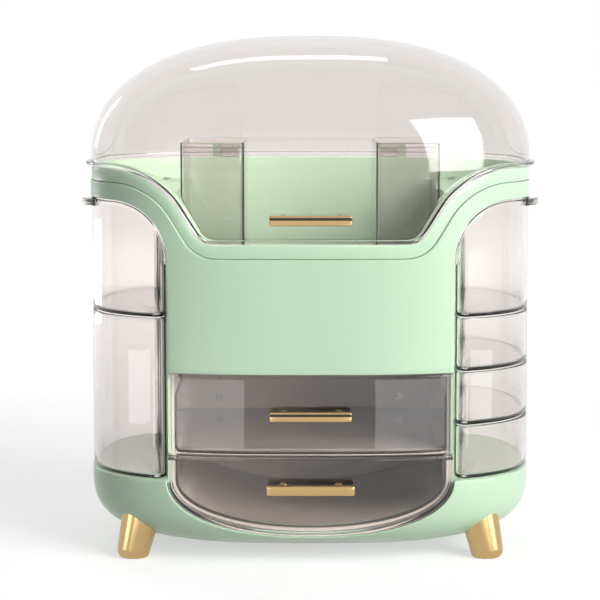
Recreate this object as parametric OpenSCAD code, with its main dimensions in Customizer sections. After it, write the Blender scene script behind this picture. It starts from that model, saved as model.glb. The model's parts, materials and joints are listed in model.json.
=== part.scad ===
// Makeup organizer with a clear domed lid, two drawers and two pods of swing trays.
// Millimetres, +Z up, front towards -Y, origin on the ground under the middle of the body.

/* [Body] */
// Width of the body across the band and the pods
body_w = 303; // [290:1:330]
// Depth of the body, front to back
body_d = 206; // [196:1:230]
// Squareness of the rounded plan, where 2 is an ellipse
plan_power = 2.85; // [2.6:0.05:3.2]
// Width of the middle column between the pods
column_w = 190; // [180:1:196]
// Wall of the green mouldings
wall = 2.5; // [2:0.1:3]

/* [Heights] */
// Height of the bowl's underside above the ground
ground_gap = 5.5; // [4:0.5:12]
// Height of the base bowl
bowl_h = 51.5; // [48:0.5:56]
// Height of the lower drawer's front above the bowl
lower_rise = 18; // [14:0.5:26]
// Height of the upper drawer's front
upper_drawer_h = 54.5; // [48:0.5:66]
// Height of the body's level rim above the ground
rim_h = 263.3; // [258:0.1:310]
// Height of the band over the pods, collar included
band_h = 20.6; // [19:0.2:24]

/* [Dipped front edge] */
// Depth of the dip below the rim
dip_rise = 48.3; // [44:0.1:52]
// Half of the flat stretch at the bottom of the dip
dip_flat = 63; // [50:1:66]
// Radius of the dip's inner corners
dip_r_in = 15; // [12:0.5:18]
// Radius of the dip's shoulders
dip_r_out = 57; // [50:0.5:60]
// Slope of the dip's sides in degrees
dip_slope = 58; // [54:0.5:62]
// Height of the tub's collar below the edge
collar_h = 9; // [7:0.5:11]
// Radius of the arch over each pod
arch_r = 38; // [30:0.5:42]

/* [Lid] */
// Height of the dome above the rim
dome_rise = 88.2; // [80:0.2:100]
// Squareness of the dome's profile
dome_power = 2.4; // [2.1:0.05:2.8]
// Wall of the clear lid
lid_wall = 2.2; // [1.8:0.1:3]
// How far the lid's flange stands out
flange_out = 3; // [1.5:0.1:3.5]
// Thickness of the lid's flange
flange_t = 3; // [2:0.1:4]
// Radius of the hinge pins
hinge_pin_r = 1.5; // [1.2:0.1:2]
// Radius of the hinge knuckles
knuckle_r = 4.5; // [3.8:0.1:5]
// Length of one whole hinge
hinge_len = 24; // [18:1:30]
// Distance of each hinge from the middle
hinge_x = 60; // [45:1:70]

/* [Drawers] */
// Thickness of the drawer fronts
front_t = 3; // [2.5:0.1:3.5]
// Wall of the drawer boxes
box_wall = 1.8; // [1.4:0.1:2.2]
// Wall of the drawer cabinet
cabinet_wall = 1.8; // [1.4:0.1:2.2]
// Drop of the lower drawer's curved edge into the bowl
smile_drop = 38; // [34:0.5:39]
// Squareness of the lower drawer's curved edge
smile_power = 2.1; // [2:0.05:2.6]
// How far the upper drawer's box stays below its front's top
upper_box_drop = 14; // [8:0.5:24]
// How far the lower drawer's box stays below its front's top
lower_box_drop = 4; // [3:0.5:12]
// Running gap round the drawers
drawer_gap = 0.6; // [0.4:0.1:1]

/* [Pods] */
// Height of one tier of the right pod
right_tier = 36.2; // [30:0.2:40]
// Height of the left pod's lower tier
left_tier = 108.6; // [90:0.2:120]
// Wall of the clear trays
tray_wall = 2.2; // [1.8:0.1:2.6]
// Gap between trays, and between a tray and what is round it
tray_gap = 0.5; // [0.4:0.05:0.8]
// Radius of the pivot pins
pivot_r = 2.5; // [2:0.1:3]
// Radius of a tray's corner round its pivot
pivot_corner_r = 8; // [7:0.5:9]
// How far a top tray's finger tab stands out
tab_out = 4.5; // [3:0.5:6]

/* [Pulls] */
// Length of the pulls on the lid and the upper drawer
pull_w = 54; // [44:1:70]
// Length of the lower drawer's pull
lower_pull_w = 58; // [44:1:70]
// Height of a pull's bar
pull_h = 6.6; // [5:0.1:8]
// Thickness of a pull's bar
pull_t = 5; // [4:0.1:6]
// How far the pulls stand out in front, and the hinge behind
reach = 13; // [11.5:0.5:15]
// Radius of a pull's posts
post_r = 2.8; // [2.4:0.1:3.2]

/* [Bins] */
// Width of a clear bin
bin_w = 44; // [30:1:50]
// Depth of a clear bin
bin_d = 98; // [80:1:112]
// Gap between a bin's back and the tub
bin_gap = 12; // [4.5:0.5:16]
// Height of a clear bin
bin_h = 145; // [110:1:150]
// Wall of a clear bin
bin_wall = 1.8; // [1.4:0.1:2.4]

/* [Feet] */
// Radius of a foot near the ground
foot_r = 11; // [9:0.5:13]
// Taper of a foot, in degrees from its axis
foot_taper = 4.4; // [2:0.2:5]
// Tilt of a foot outwards, in degrees
foot_splay = 12.4; // [8:0.2:16]
// Tilt of a foot forwards or backwards, in degrees
foot_rake = 7; // [0:0.5:10]
// How far in from the body's side a foot stands
foot_in_x = 30.5; // [28:0.5:38]
// How far in from the body's front or back a foot stands
foot_in_y = 37; // [34:0.5:50]

/* [Screws] */
// Radius of the screws
screw_r = 1.5; // [1.2:0.1:1.8]
// Radius of the screws' heads
screw_head_r = 2.8; // [2.4:0.1:3.2]
// Height of the screws' heads
screw_head_t = 1.8; // [1.2:0.1:2.2]
// Length of the screws below their heads
screw_len = 9; // [8:0.5:12]

/* [Hidden] */

half_w = body_w / 2;
half_d = body_d / 2;
column_hw = column_w / 2;
seat_gap = 0.3;
pin_clear = 0.05;
far = 400;
over_cut = 10;
pin_boss_wall = 2;
pin_boss_len = 7;
pin_boss_seat = 0.5;
pin_bore_len = 4.5;
pin_foot_len = 5;
pin_end_gap = 0.2;
plan_n = 96;
$fn = 64;

// Levels from the ground up
base_top = ground_gap + bowl_h;
split_z = base_top + lower_rise;
panel_z = split_z + upper_drawer_h;
seam_z = rim_h;
dip_lo = seam_z - dip_rise;
arch_top = seam_z - band_h;
wing_z = arch_top + 2;
well_z = panel_z + 1.3;

// Base
bowl_power = 3.5;
bowl_wall = wall + 0.5;
deck_t = wall;
deck_z = base_top - deck_t;
deck_screw_x = half_w - 24;
deck_screw_y = half_d * 0.34;
foot_x = half_w - foot_in_x;
foot_y = half_d - foot_in_y;
socket_len = base_top - 15;
foot_top_r = foot_r + socket_len * tan(foot_taper);
socket_wall = 2.6;
foot_seat = 0.2;

// Insets from the outer plan
tub_inset = wall + 0.8;
collar_inset = 0.8;

// Drawers
cabinet_hw = column_hw - wall - 0.2;
cabinet_in = cabinet_hw - cabinet_wall;
box_hw = cabinet_in - drawer_gap;
front_gap = 0.2;
cabinet_front = -half_d + 19.5;
cabinet_rear = half_d - 21;
box_rear = cabinet_rear - cabinet_wall - 2.2;
shelf_t = 2;
cabinet_top = panel_z + 1;
bezel = 2.7;
front_lip = 4;

// Pods
pod_x = column_hw + 2 * tray_gap + 0.2;
pivot_x = pod_x + pivot_corner_r;
pivot_y = plan_y(pivot_x, 0.6) - pivot_corner_r;
tray_inset = 0.6;
tray_top = arch_top - 2 * tray_gap;
tray_z0 = base_top + tray_gap;
inner_wall_top = arch_top - arch_r - 4;
boss_r = pivot_r + 3.4;

// Screws
screw_hole_r = screw_r + 0.2;
hole_len = screw_len + 1;

// Lid hinge
hinge_y = half_d + reach - knuckle_r;
hinge_z = seam_z;
leaf_reach = reach;
lug_w = hinge_len * 0.5;
ear_w = (hinge_len - lug_w) / 2 - seat_gap;
lid_gap = 0.4;

// Where the dipped front edge hands over to the level rim
seam_switch_y = -half_d * 0.54;

green = [0.72, 0.87, 0.73];
clear = [0.93, 0.92, 0.9, 0.35];
gold = [0.86, 0.7, 0.4];
grey = [0.55, 0.53, 0.51];
steel = [0.7, 0.71, 0.73];

// Distance to a superellipse of unit size, in direction t
function unit_r(t, n) = pow(pow(abs(cos(t)), n) + pow(abs(sin(t)), n), -1 / n);

// Points of the rounded plan, drawn in by an inset
function plan_points(inset, k = 1) = [
    for (i = [0 : plan_n - 1])
        let (t = 360 * i / plan_n, r = unit_r(t, plan_power))
        [(half_w - inset) * k * r * cos(t), (half_d - inset) * k * r * sin(t)]
];

// Half depth of the plan at a distance x from the middle
function plan_y(x, inset) =
    (half_d - inset) * pow(1 - pow(x / (half_w - inset), plan_power), 1 / plan_power);

module plan(inset = 0) {
    polygon(plan_points(inset));
}

module plan_ring(outer, inner) {
    difference() {
        plan(outer);
        plan(inner);
    }
}

// Carries an outline drawn in X and Z from y0 to y1
module along_y(y0, y1) {
    translate([0, y1, 0]) rotate([90, 0, 0]) linear_extrude(y1 - y0) children();
}

// Plan carried up by straight, then closed by a dome of the given rise and squareness.
// Its flat end lies at z = -straight.
module domed_solid(inset, straight, rise, power, rows) {
    rings = [
        for (j = [-1 : rows - 1])
            let (f = 90 * max(j, 0) / rows, r = unit_r(f, power))
            [r * cos(f), j < 0 ? -straight : (rise - inset) * r * sin(f)]
    ];
    first = straight > 0 ? 0 : 1;
    used = [for (j = [first : rows]) rings[j]];
    count = len(used);
    points = concat(
        [
            for (ring = used)
                let (p = plan_points(inset, ring[0]))
                for (q = p) [q[0], q[1], ring[1]]
        ],
        [[0, 0, rise - inset]]
    );
    apex = count * plan_n;
    faces = concat(
        [[for (i = [0 : plan_n - 1]) i]],
        [
            for (j = [0 : count - 2], i = [0 : plan_n - 1])
                let (a = j * plan_n + i, b = j * plan_n + (i + 1) % plan_n)
                [a, a + plan_n, b]
        ],
        [
            for (j = [0 : count - 2], i = [0 : plan_n - 1])
                let (a = j * plan_n + i, b = j * plan_n + (i + 1) % plan_n)
                [b, a + plan_n, b + plan_n]
        ],
        [
            for (i = [0 : plan_n - 1])
                let (a = (count - 1) * plan_n + i, b = (count - 1) * plan_n + (i + 1) % plan_n)
                [a, apex, b]
        ]
    );
    polyhedron(points, faces, convexity = 4);
}

// The bowl as a solid, standing up to straight above the bowl's rim
module bowl_solid(inset, straight = 0) {
    translate([0, 0, base_top])
        mirror([0, 0, 1]) domed_solid(inset, straight, bowl_h, bowl_power, 9);
}

// The lid's dome as a solid, carried down below the dip
module dome_solid(inset) {
    translate([0, 0, seam_z])
        domed_solid(inset, dip_rise + 6, dome_rise, dome_power, 11);
}

// One half of the space above the dipped edge, or above a line parallel to it and lower by drop
module mouth_half(drop) {
    r_in = dip_r_in + drop;
    r_out = dip_r_out - drop;
    lo = dip_lo - drop;
    hi = seam_z - drop;
    x_b = dip_flat + r_in * sin(dip_slope);
    z_b = lo + r_in * (1 - cos(dip_slope));
    z_c = hi - r_out * (1 - cos(dip_slope));
    x_c = x_b + (z_c - z_b) / tan(dip_slope);
    x_d = x_c + r_out * sin(dip_slope);
    difference() {
        union() {
            polygon([
                [-1, lo], [dip_flat, lo], [x_b, z_b], [x_c, z_c], [x_d, hi],
                [far, hi], [far, far + hi], [-1, far + hi]
            ]);
            translate([dip_flat, lo + r_in]) circle(r_in);
        }
        translate([x_d, hi - r_out]) circle(r_out);
    }
}

module mouth(drop) {
    union() {
        mouth_half(drop);
        mirror([1, 0]) mouth_half(drop);
    }
}

// Everything above the rim: dipped in front, level at the sides and behind
module above_seam(drop) {
    union() {
        along_y(-far, seam_switch_y) mouth(drop);
        translate([-far, seam_switch_y, seam_z - drop]) cube([2 * far, 2 * far, far]);
    }
}

// Space of one pod seen from the front, under its arch, drawn in by a clearance
module pod_window(clearance) {
    r = arch_r - clearance;
    x_in = column_hw + clearance;
    x_c = column_hw + arch_r;
    z_c = arch_top - arch_r;
    union() {
        translate([x_in, 0]) square([far, z_c]);
        translate([x_c, 0]) square([far, arch_top - clearance]);
        translate([x_c, z_c]) circle(r);
    }
}

// Lower drawer's outline: a half superellipse with straight sides above it
module smile(inset, top) {
    w = column_hw - inset;
    drop = smile_drop - inset;
    polygon(concat(
        [
            for (t = [180 : 6 : 360])
                let (r = unit_r(t, smile_power))
                [w * r * cos(t), base_top + drop * r * sin(t)]
        ],
        [[w, top], [-w, top]]
    ));
}

// Places its child at the four corners (x, y), mirrored
module four_ways(x, y) {
    for (sx = [-1, 1], sy = [-1, 1])
        translate([sx * x, sy * y, 0]) children();
}

// Turns its child into the axis of one foot, with the ground point as origin
module foot_place(sx, sy) {
    translate([sx * foot_x, sy * foot_y, 0])
        rotate([sy * foot_rake, -sx * foot_splay, 0])
        children();
}

// ---- Base ----

module base_bowl() color(green) {
    difference() {
        union() {
            difference() {
                bowl_solid(0);
                bowl_solid(bowl_wall);
            }
            intersection() {
                bowl_solid(bowl_wall / 2);
                union() {
                    for (sx = [-1, 1], sy = [-1, 1])
                        foot_place(sx, sy)
                            cylinder(r = foot_top_r + socket_wall, h = socket_len + socket_wall);
                    four_ways(deck_screw_x, deck_screw_y)
                        cylinder(r = screw_r + 2.5, h = deck_z);
                }
            }
        }
        for (sx = [-1, 1], sy = [-1, 1]) {
            foot_place(sx, sy) {
                translate([0, 0, -foot_seat])
                    cylinder(r1 = foot_r + foot_seat, r2 = foot_top_r + foot_seat,
                             h = socket_len + foot_seat);
                cylinder(r = screw_hole_r, h = far / 4);
            }
        }
        four_ways(deck_screw_x, deck_screw_y)
            translate([0, 0, base_top - hole_len]) cylinder(r = screw_r, h = far);
        along_y(-far, cabinet_front + front_lip) smile(-drawer_gap, base_top + over_cut);
    }
}

module base_deck() color(green) {
    difference() {
        union() {
            translate([0, 0, deck_z]) linear_extrude(deck_t) plan(bowl_wall + seat_gap);
            for (s = [-1, 1])
                translate([s * pivot_x, pivot_y, deck_z - pin_boss_len])
                    cylinder(r = pivot_r + pin_boss_wall, h = pin_boss_len + pin_boss_seat);
        }
        translate([-cabinet_hw - seat_gap, -far, 0])
            cube([2 * (cabinet_hw + seat_gap), far + cabinet_rear + seat_gap, far]);
        translate([-column_hw - seat_gap, -far, 0])
            cube([2 * (column_hw + seat_gap), far + cabinet_front, far]);
        for (s = [-1, 1])
            translate([s * pivot_x, pivot_y, deck_z - pin_foot_len])
                cylinder(r = pivot_r + pin_clear, h = far);
        four_ways(deck_screw_x, deck_screw_y)
            translate([0, 0, deck_z - 1]) cylinder(r = screw_hole_r, h = far);
        four_ways(deck_screw_x, deck_screw_y)
            translate([0, 0, base_top - screw_head_t - 0.1])
                cylinder(r = screw_head_r + 0.2, h = far);
    }
}

module deck_screws() color(steel) {
    four_ways(deck_screw_x, deck_screw_y) {
        translate([0, 0, base_top - screw_head_t]) cylinder(r = screw_head_r, h = screw_head_t);
        translate([0, 0, base_top - screw_len]) cylinder(r = screw_r, h = screw_len);
    }
}

// A tapered foot with a rounded end, cut flat on the ground
module foot(sx, sy) color(gold) {
    end_r = foot_r * 0.5;
    slope = tan(foot_taper);
    difference() {
        foot_place(sx, sy) difference() {
            translate([0, 0, -3]) rotate_extrude($fn = 96) union() {
                polygon([
                    [0, 0], [foot_r - end_r, 0], [foot_r, end_r],
                    [foot_top_r, socket_len + 3], [0, socket_len + 3]
                ]);
                intersection() {
                    translate([foot_r - end_r, end_r]) circle(end_r, $fn = 48);
                    square([foot_r + 1, end_r + 2]);
                }
            }
            translate([0, 0, socket_len - hole_len]) cylinder(r = screw_r, h = far);
        }
        translate([-far, -far, -far]) cube([2 * far, 2 * far, far]);
    }
}

module foot_screws() color(steel) {
    for (sx = [-1, 1], sy = [-1, 1])
        foot_place(sx, sy) {
            translate([0, 0, socket_len + socket_wall])
                cylinder(r = screw_head_r, h = screw_head_t);
            translate([0, 0, socket_len + socket_wall - screw_len])
                cylinder(r = screw_r, h = screw_len + 0.1);
        }
}

// ---- Body ----

// Front of the shell: panel and band, with both pod windows cut away
module front_face() {
    difference() {
        translate([-far / 2, panel_z]) square([far, seam_z - panel_z]);
        pod_window(0);
        mirror([1, 0]) pod_window(0);
    }
}

// Back of the shell: full height behind the column, band only behind the pods
module back_face() {
    union() {
        translate([-column_hw, base_top]) square([column_w, seam_z - base_top]);
        translate([-far / 2, arch_top]) square([far, band_h]);
    }
}

// Side wall of the middle column
module column_side(s) {
    x0 = s > 0 ? column_hw - wall : -column_hw;
    intersection() {
        translate([0, 0, base_top]) linear_extrude(arch_top - base_top) plan(wall / 2);
        union() {
            translate([x0, cabinet_front, base_top]) cube([wall, far, far]);
            translate([x0, -plan_y(column_hw, front_t) + 1, split_z]) cube([wall, far, far]);
            translate([x0, -far, panel_z]) cube([wall, 2 * far, far]);
        }
    }
}

module cabinet_screw_places() {
    for (sx = [-1, 1], z = [split_z + 12, panel_z - 12])
        translate([sx * column_hw * 0.7, 0, z]) children();
}

module body_shell() color(green) {
    difference() {
        union() {
            difference() {
                intersection() {
                    translate([0, 0, base_top])
                        linear_extrude(seam_z - base_top) plan_ring(0, wall);
                    union() {
                        along_y(-far, seam_switch_y) front_face();
                        along_y(seam_switch_y, far) back_face();
                    }
                }
                above_seam(collar_h + seat_gap);
            }
            difference() {
                union() {
                    column_side(-1);
                    column_side(1);
                }
                difference() {
                    above_seam(collar_h + seat_gap);
                    linear_extrude(far) plan(tub_inset + wall + seat_gap);
                }
            }
            intersection() {
                translate([0, 0, base_top]) linear_extrude(far) plan(wall / 2);
                cabinet_screw_places()
                    translate([0, cabinet_rear + 0.1, 0])
                        rotate([-90, 0, 0]) cylinder(r = screw_r + 2.5, h = far);
            }
        }
        cabinet_screw_places()
            translate([0, cabinet_rear - 1, 0])
                rotate([-90, 0, 0]) cylinder(r = screw_r, h = hole_len);
    }
}

module drawer_cabinet() color(grey) {
    out = column_hw - cabinet_hw;
    in = column_hw - cabinet_in;
    difference() {
        along_y(cabinet_front, cabinet_rear) smile(out, cabinet_top);
        along_y(-far, cabinet_rear - cabinet_wall) smile(in, split_z - shelf_t / 2);
        translate([-cabinet_in, -far, split_z + shelf_t / 2])
            cube([
                2 * cabinet_in,
                far + cabinet_rear - cabinet_wall,
                cabinet_top - cabinet_wall - split_z - shelf_t / 2
            ]);
        cabinet_screw_places() rotate([-90, 0, 0]) cylinder(r = screw_hole_r, h = far);
    }
}

module cabinet_screws() color(steel) {
    cabinet_screw_places()
        translate([0, cabinet_rear - cabinet_wall, 0]) rotate([-90, 0, 0]) {
            translate([0, 0, -screw_head_t]) cylinder(r = screw_head_r, h = screw_head_t);
            translate([0, 0, -0.1]) cylinder(r = screw_r, h = screw_len);
        }
}

// ---- Tub ----

well_hw = cabinet_hw;
front_zone_y = -plan_y(well_hw, tub_inset + wall);

module well_plan(inset) {
    intersection() {
        plan(tub_inset + inset);
        translate([-well_hw + inset, -far]) square([2 * (well_hw - inset), 2 * far]);
    }
}

module inner_tub() color(green) {
    difference() {
        union() {
            difference() {
                translate([0, 0, wing_z]) linear_extrude(seam_z - wing_z)
                    plan_ring(tub_inset, tub_inset + wall);
                above_seam(0);
            }
            difference() {
                intersection() {
                    translate([0, 0, dip_lo - collar_h])
                        linear_extrude(far) plan_ring(collar_inset, tub_inset + wall);
                    above_seam(collar_h);
                }
                above_seam(0);
            }
            translate([0, 0, wing_z]) linear_extrude(wall) difference() {
                plan(tub_inset);
                well_plan(wall / 2);
            }
            difference() {
                translate([0, 0, well_z]) linear_extrude(wing_z + wall - well_z) well_plan(0);
                translate([0, 0, well_z + wall]) linear_extrude(far) well_plan(wall);
                along_y(-far, front_zone_y) mouth(0);
            }
            for (s = [-1, 1])
                translate([s * pivot_x, pivot_y, wing_z - pin_boss_seat])
                    cylinder(r = pivot_r + pin_boss_wall, h = pin_boss_len);
        }
        for (s = [-1, 1])
            translate([s * pivot_x, pivot_y, wing_z - wall])
                cylinder(r = pivot_r + pin_clear, h = wall + pin_bore_len);
    }
}

module bin(s) color(clear) {
    x0 = well_hw - wall - 0.5 - bin_w;
    y0 = plan_y(well_hw - wall, tub_inset + wall) - bin_gap - bin_d;
    z0 = well_z + wall + seat_gap;
    mirror([s > 0 ? 0 : 1, 0, 0]) translate([x0, y0, z0]) difference() {
        cube([bin_w, bin_d, bin_h]);
        translate([bin_wall, bin_wall, bin_wall])
            cube([bin_w - 2 * bin_wall, bin_d - 2 * bin_wall, bin_h]);
    }
}

// ---- Lid ----

module hinge_bore(x) {
    translate([x - hinge_len, hinge_y, hinge_z])
        rotate([0, 90, 0]) cylinder(r = hinge_pin_r + pin_clear, h = 2 * hinge_len);
}

// Two ears joined by a plate, seated on the tub's collar behind
module hinge_leaf_body(x) color(green) {
    difference() {
        union() {
            for (x0 = [x - hinge_len / 2, x + hinge_len / 2 - ear_w]) {
                translate([x0, hinge_y, hinge_z])
                    rotate([0, 90, 0]) cylinder(r = knuckle_r, h = ear_w);
                translate([x0, hinge_y - leaf_reach, hinge_z - knuckle_r])
                    cube([ear_w, leaf_reach, knuckle_r - seat_gap]);
            }
            translate([x - hinge_len / 2, hinge_y - leaf_reach, hinge_z - collar_h + seat_gap])
                cube([hinge_len, leaf_reach - knuckle_r - seat_gap, collar_h - 2 * seat_gap]);
        }
        linear_extrude(far) plan(collar_inset);
        hinge_bore(x);
    }
}

// One lug between the ears, seated on the edge of the lid's flange
module hinge_leaf_lid(x) color(clear) {
    difference() {
        translate([x - lug_w / 2, 0, 0]) union() {
            translate([0, hinge_y, hinge_z]) rotate([0, 90, 0]) cylinder(r = knuckle_r, h = lug_w);
            translate([0, hinge_y - leaf_reach, hinge_z + 2 * lid_gap])
                cube([lug_w, leaf_reach, knuckle_r - 2 * lid_gap]);
        }
        linear_extrude(far) plan(-flange_out);
        hinge_bore(x);
    }
}

module pull_screw_holes(z) {
    for (s = [-1, 1])
        translate([s * post_x, -half_d + reach, z])
            rotate([90, 0, 0]) cylinder(r = screw_hole_r, h = 2 * reach);
}

module lid_dome() color(clear) {
    difference() {
        union() {
            intersection() {
                difference() {
                    dome_solid(0);
                    dome_solid(lid_wall);
                }
                above_seam(-lid_gap);
            }
            difference() {
                intersection() {
                    translate([0, 0, dip_lo]) linear_extrude(dip_rise + 20)
                        plan_ring(-flange_out, lid_wall / 2);
                    above_seam(-lid_gap);
                }
                above_seam(-lid_gap - flange_t);
            }
        }
        pull_screw_holes(lid_pull_z);
    }
}

module hinge_pin(s) color(steel) {
    translate([s * hinge_x - hinge_len / 2, hinge_y, hinge_z])
        rotate([0, 90, 0]) cylinder(r = hinge_pin_r, h = hinge_len);
}

// ---- Pulls ----

lid_pull_z = dip_lo + 17;
upper_pull_z = split_z + upper_drawer_h * 0.525;
lower_pull_z = base_top - 2.2;
post_x = pull_w * 0.34;

// Bar on two posts, whose ends follow the bowed front
module pull(z, w) color(gold) {
    y_front = -half_d - reach;
    edge = 1.2;
    difference() {
        union() {
            translate([-w / 2 + edge, y_front, z - pull_h / 2 + edge])
                cube([w - 2 * edge, pull_t, pull_h - 2 * edge]);
            translate([-w / 2, y_front + edge, z - pull_h / 2])
                cube([w, pull_t - edge, pull_h]);
            for (s = [-1, 1])
                translate([s * post_x, y_front + pull_t - edge, z])
                    rotate([-90, 0, 0]) cylinder(r = post_r, h = reach);
        }
        translate([0, 0, z - pull_h]) linear_extrude(2 * pull_h) plan(0);
        for (s = [-1, 1])
            translate([s * post_x, y_front + pull_t * 0.7, z])
                rotate([-90, 0, 0]) cylinder(r = screw_r, h = 2 * reach);
    }
}

// Screws that hold a pull from inside a wall of thickness t
module pull_screws(z, t) color(steel) {
    for (s = [-1, 1])
        translate([s * post_x, -plan_y(post_x, 0) + t + 0.1, z])
            rotate([90, 0, 0]) {
                translate([0, 0, -screw_head_t]) cylinder(r = screw_head_r, h = screw_head_t);
                cylinder(r = screw_r, h = screw_len);
            }
}

// ---- Drawers ----

upper_front_z = split_z + drawer_gap;
upper_front_top = panel_z - drawer_gap;
upper_box_z = split_z + shelf_t / 2 + drawer_gap;
upper_box_top = panel_z - upper_box_drop;
lower_front_top = split_z - drawer_gap;
lower_box_top = split_z - lower_box_drop;

module upper_drawer_front() color(clear) {
    difference() {
        translate([0, 0, upper_front_z]) linear_extrude(upper_front_top - upper_front_z)
            intersection() {
                plan_ring(0, front_t);
                translate([-column_hw + front_gap, -far])
                    square([column_w - 2 * front_gap, far]);
            }
        pull_screw_holes(upper_pull_z);
    }
}

module upper_drawer_box() color(clear) {
    h = upper_box_top - upper_box_z;
    translate([0, 0, upper_box_z]) difference() {
        linear_extrude(h) intersection() {
            plan(front_t);
            translate([-box_hw, -far]) square([2 * box_hw, far + box_rear]);
        }
        translate([-box_hw + box_wall, -far, box_wall])
            cube([2 * (box_hw - box_wall), far + box_rear - box_wall, far]);
    }
}

module lower_drawer_front() color(clear) {
    back = cabinet_front - 0.5;
    box_in = column_hw - box_hw + box_wall;
    difference() {
        intersection() {
            bowl_solid(0, lower_rise + over_cut);
            along_y(-far, back) smile(front_gap, lower_front_top);
        }
        intersection() {
            bowl_solid(front_t, lower_rise + 2 * over_cut);
            along_y(-far, back - front_lip / 2) smile(front_gap + bezel, far);
        }
        along_y(back - front_lip, far) smile(box_in, far);
        pull_screw_holes(lower_pull_z);
    }
}

module lower_drawer_box() color(clear) {
    front = cabinet_front - 0.5;
    out = column_hw - box_hw;
    difference() {
        along_y(front, box_rear) smile(out, lower_box_top);
        along_y(-far, box_rear - box_wall) smile(out + box_wall, far);
    }
}

// ---- Pods ----

// Plan of one tray, with a rounded corner round the pivot and another in front
module tray_plan(inset) {
    r = pivot_corner_r - inset;
    y_f = plan_y(pivot_x, tray_inset) - pivot_corner_r;
    intersection() {
        plan(tray_inset + inset);
        union() {
            translate([pivot_x, -far]) square([far, 2 * far]);
            translate([pod_x + inset, -y_f]) square([r + 1, y_f + pivot_y]);
            translate([pivot_x, pivot_y]) circle(r);
            translate([pivot_x, -y_f]) circle(r);
        }
    }
}

// One clear tray of the right pod between two levels
module tray_right(z0, z1, top) {
    difference() {
        union() {
            difference() {
                translate([0, 0, z0]) linear_extrude(z1 - z0) tray_plan(0);
                translate([0, 0, z0 + tray_wall]) linear_extrude(far) tray_plan(tray_wall);
            }
            translate([pivot_x, pivot_y, z0]) cylinder(r = boss_r, h = z1 - z0);
            if (top) {
                translate([half_w - 24 + tab_out, -half_d * 0.28, z1 - 4.5]) difference() {
                    cylinder(r = 24, h = 4.5);
                    translate([-far, -far / 2, -1]) cube([far + 12, far, 10]);
                }
            }
        }
        if (top) {
            difference() {
                translate([0, -far, 0]) cube([far, far + seam_switch_y, far]);
                along_y(-far, far) pod_window(2 * tray_gap);
            }
            translate([0, -far, inner_wall_top])
                cube([pod_x + tray_wall + 0.1, far + pivot_y - boss_r - 2, far]);
        }
        translate([pivot_x, pivot_y, z0 - 1])
            cylinder(r = pivot_r + pin_clear, h = z1 - z0 + 2);
    }
}

// Tray number i, counted from the bottom of the right pod
module right_tray(i) color(clear) {
    z0 = tray_z0 + i * right_tier;
    tray_right(z0, i < 3 ? z0 + right_tier - tray_gap : tray_top, i == 3);
}

// Tray number i, counted from the bottom of the left pod
module left_tray(i) color(clear) {
    z0 = tray_z0 + i * left_tier;
    mirror([1, 0, 0])
        tray_right(z0, i < 1 ? z0 + left_tier - tray_gap : tray_top, i == 1);
}

module pivot_pin(s) color(steel) {
    low = deck_z - pin_foot_len + pin_end_gap / 2;
    translate([s * pivot_x, pivot_y, low])
        cylinder(r = pivot_r, h = wing_z + pin_bore_len - pin_end_gap - low);
}

base_bowl();
base_deck();
body_shell();
drawer_cabinet();
inner_tub();
lid_dome();
pull(lid_pull_z, pull_w);  // lid_pull
pull_screws(lid_pull_z, lid_wall);  // lid_pull_screws
hinge_pin(-1);  // hinge_pin_left
hinge_pin(1);  // hinge_pin_right
hinge_leaf_body(-hinge_x);  // hinge_leaf_body_left
hinge_leaf_body(hinge_x);  // hinge_leaf_body_right
hinge_leaf_lid(-hinge_x);  // hinge_leaf_lid_left
hinge_leaf_lid(hinge_x);  // hinge_leaf_lid_right
upper_drawer_front();
upper_drawer_box();
pull(upper_pull_z, pull_w);  // upper_drawer_pull
pull_screws(upper_pull_z, front_t);  // upper_pull_screws
lower_drawer_front();
lower_drawer_box();
pull(lower_pull_z, lower_pull_w);  // lower_drawer_pull
pull_screws(lower_pull_z, front_t);  // lower_pull_screws
left_tray(0);  // left_tray_1
left_tray(1);  // left_tray_2
right_tray(0);  // right_tray_1
right_tray(1);  // right_tray_2
right_tray(2);  // right_tray_3
right_tray(3);  // right_tray_4
pivot_pin(-1);  // pivot_pin_left
pivot_pin(1);  // pivot_pin_right
bin(-1);  // bin_left
bin(1);  // bin_right
foot(-1, -1);  // foot_front_left
foot(1, -1);  // foot_front_right
foot(-1, 1);  // foot_rear_left
foot(1, 1);  // foot_rear_right
foot_screws();
deck_screws();
cabinet_screws();
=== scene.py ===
import json
import math

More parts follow.
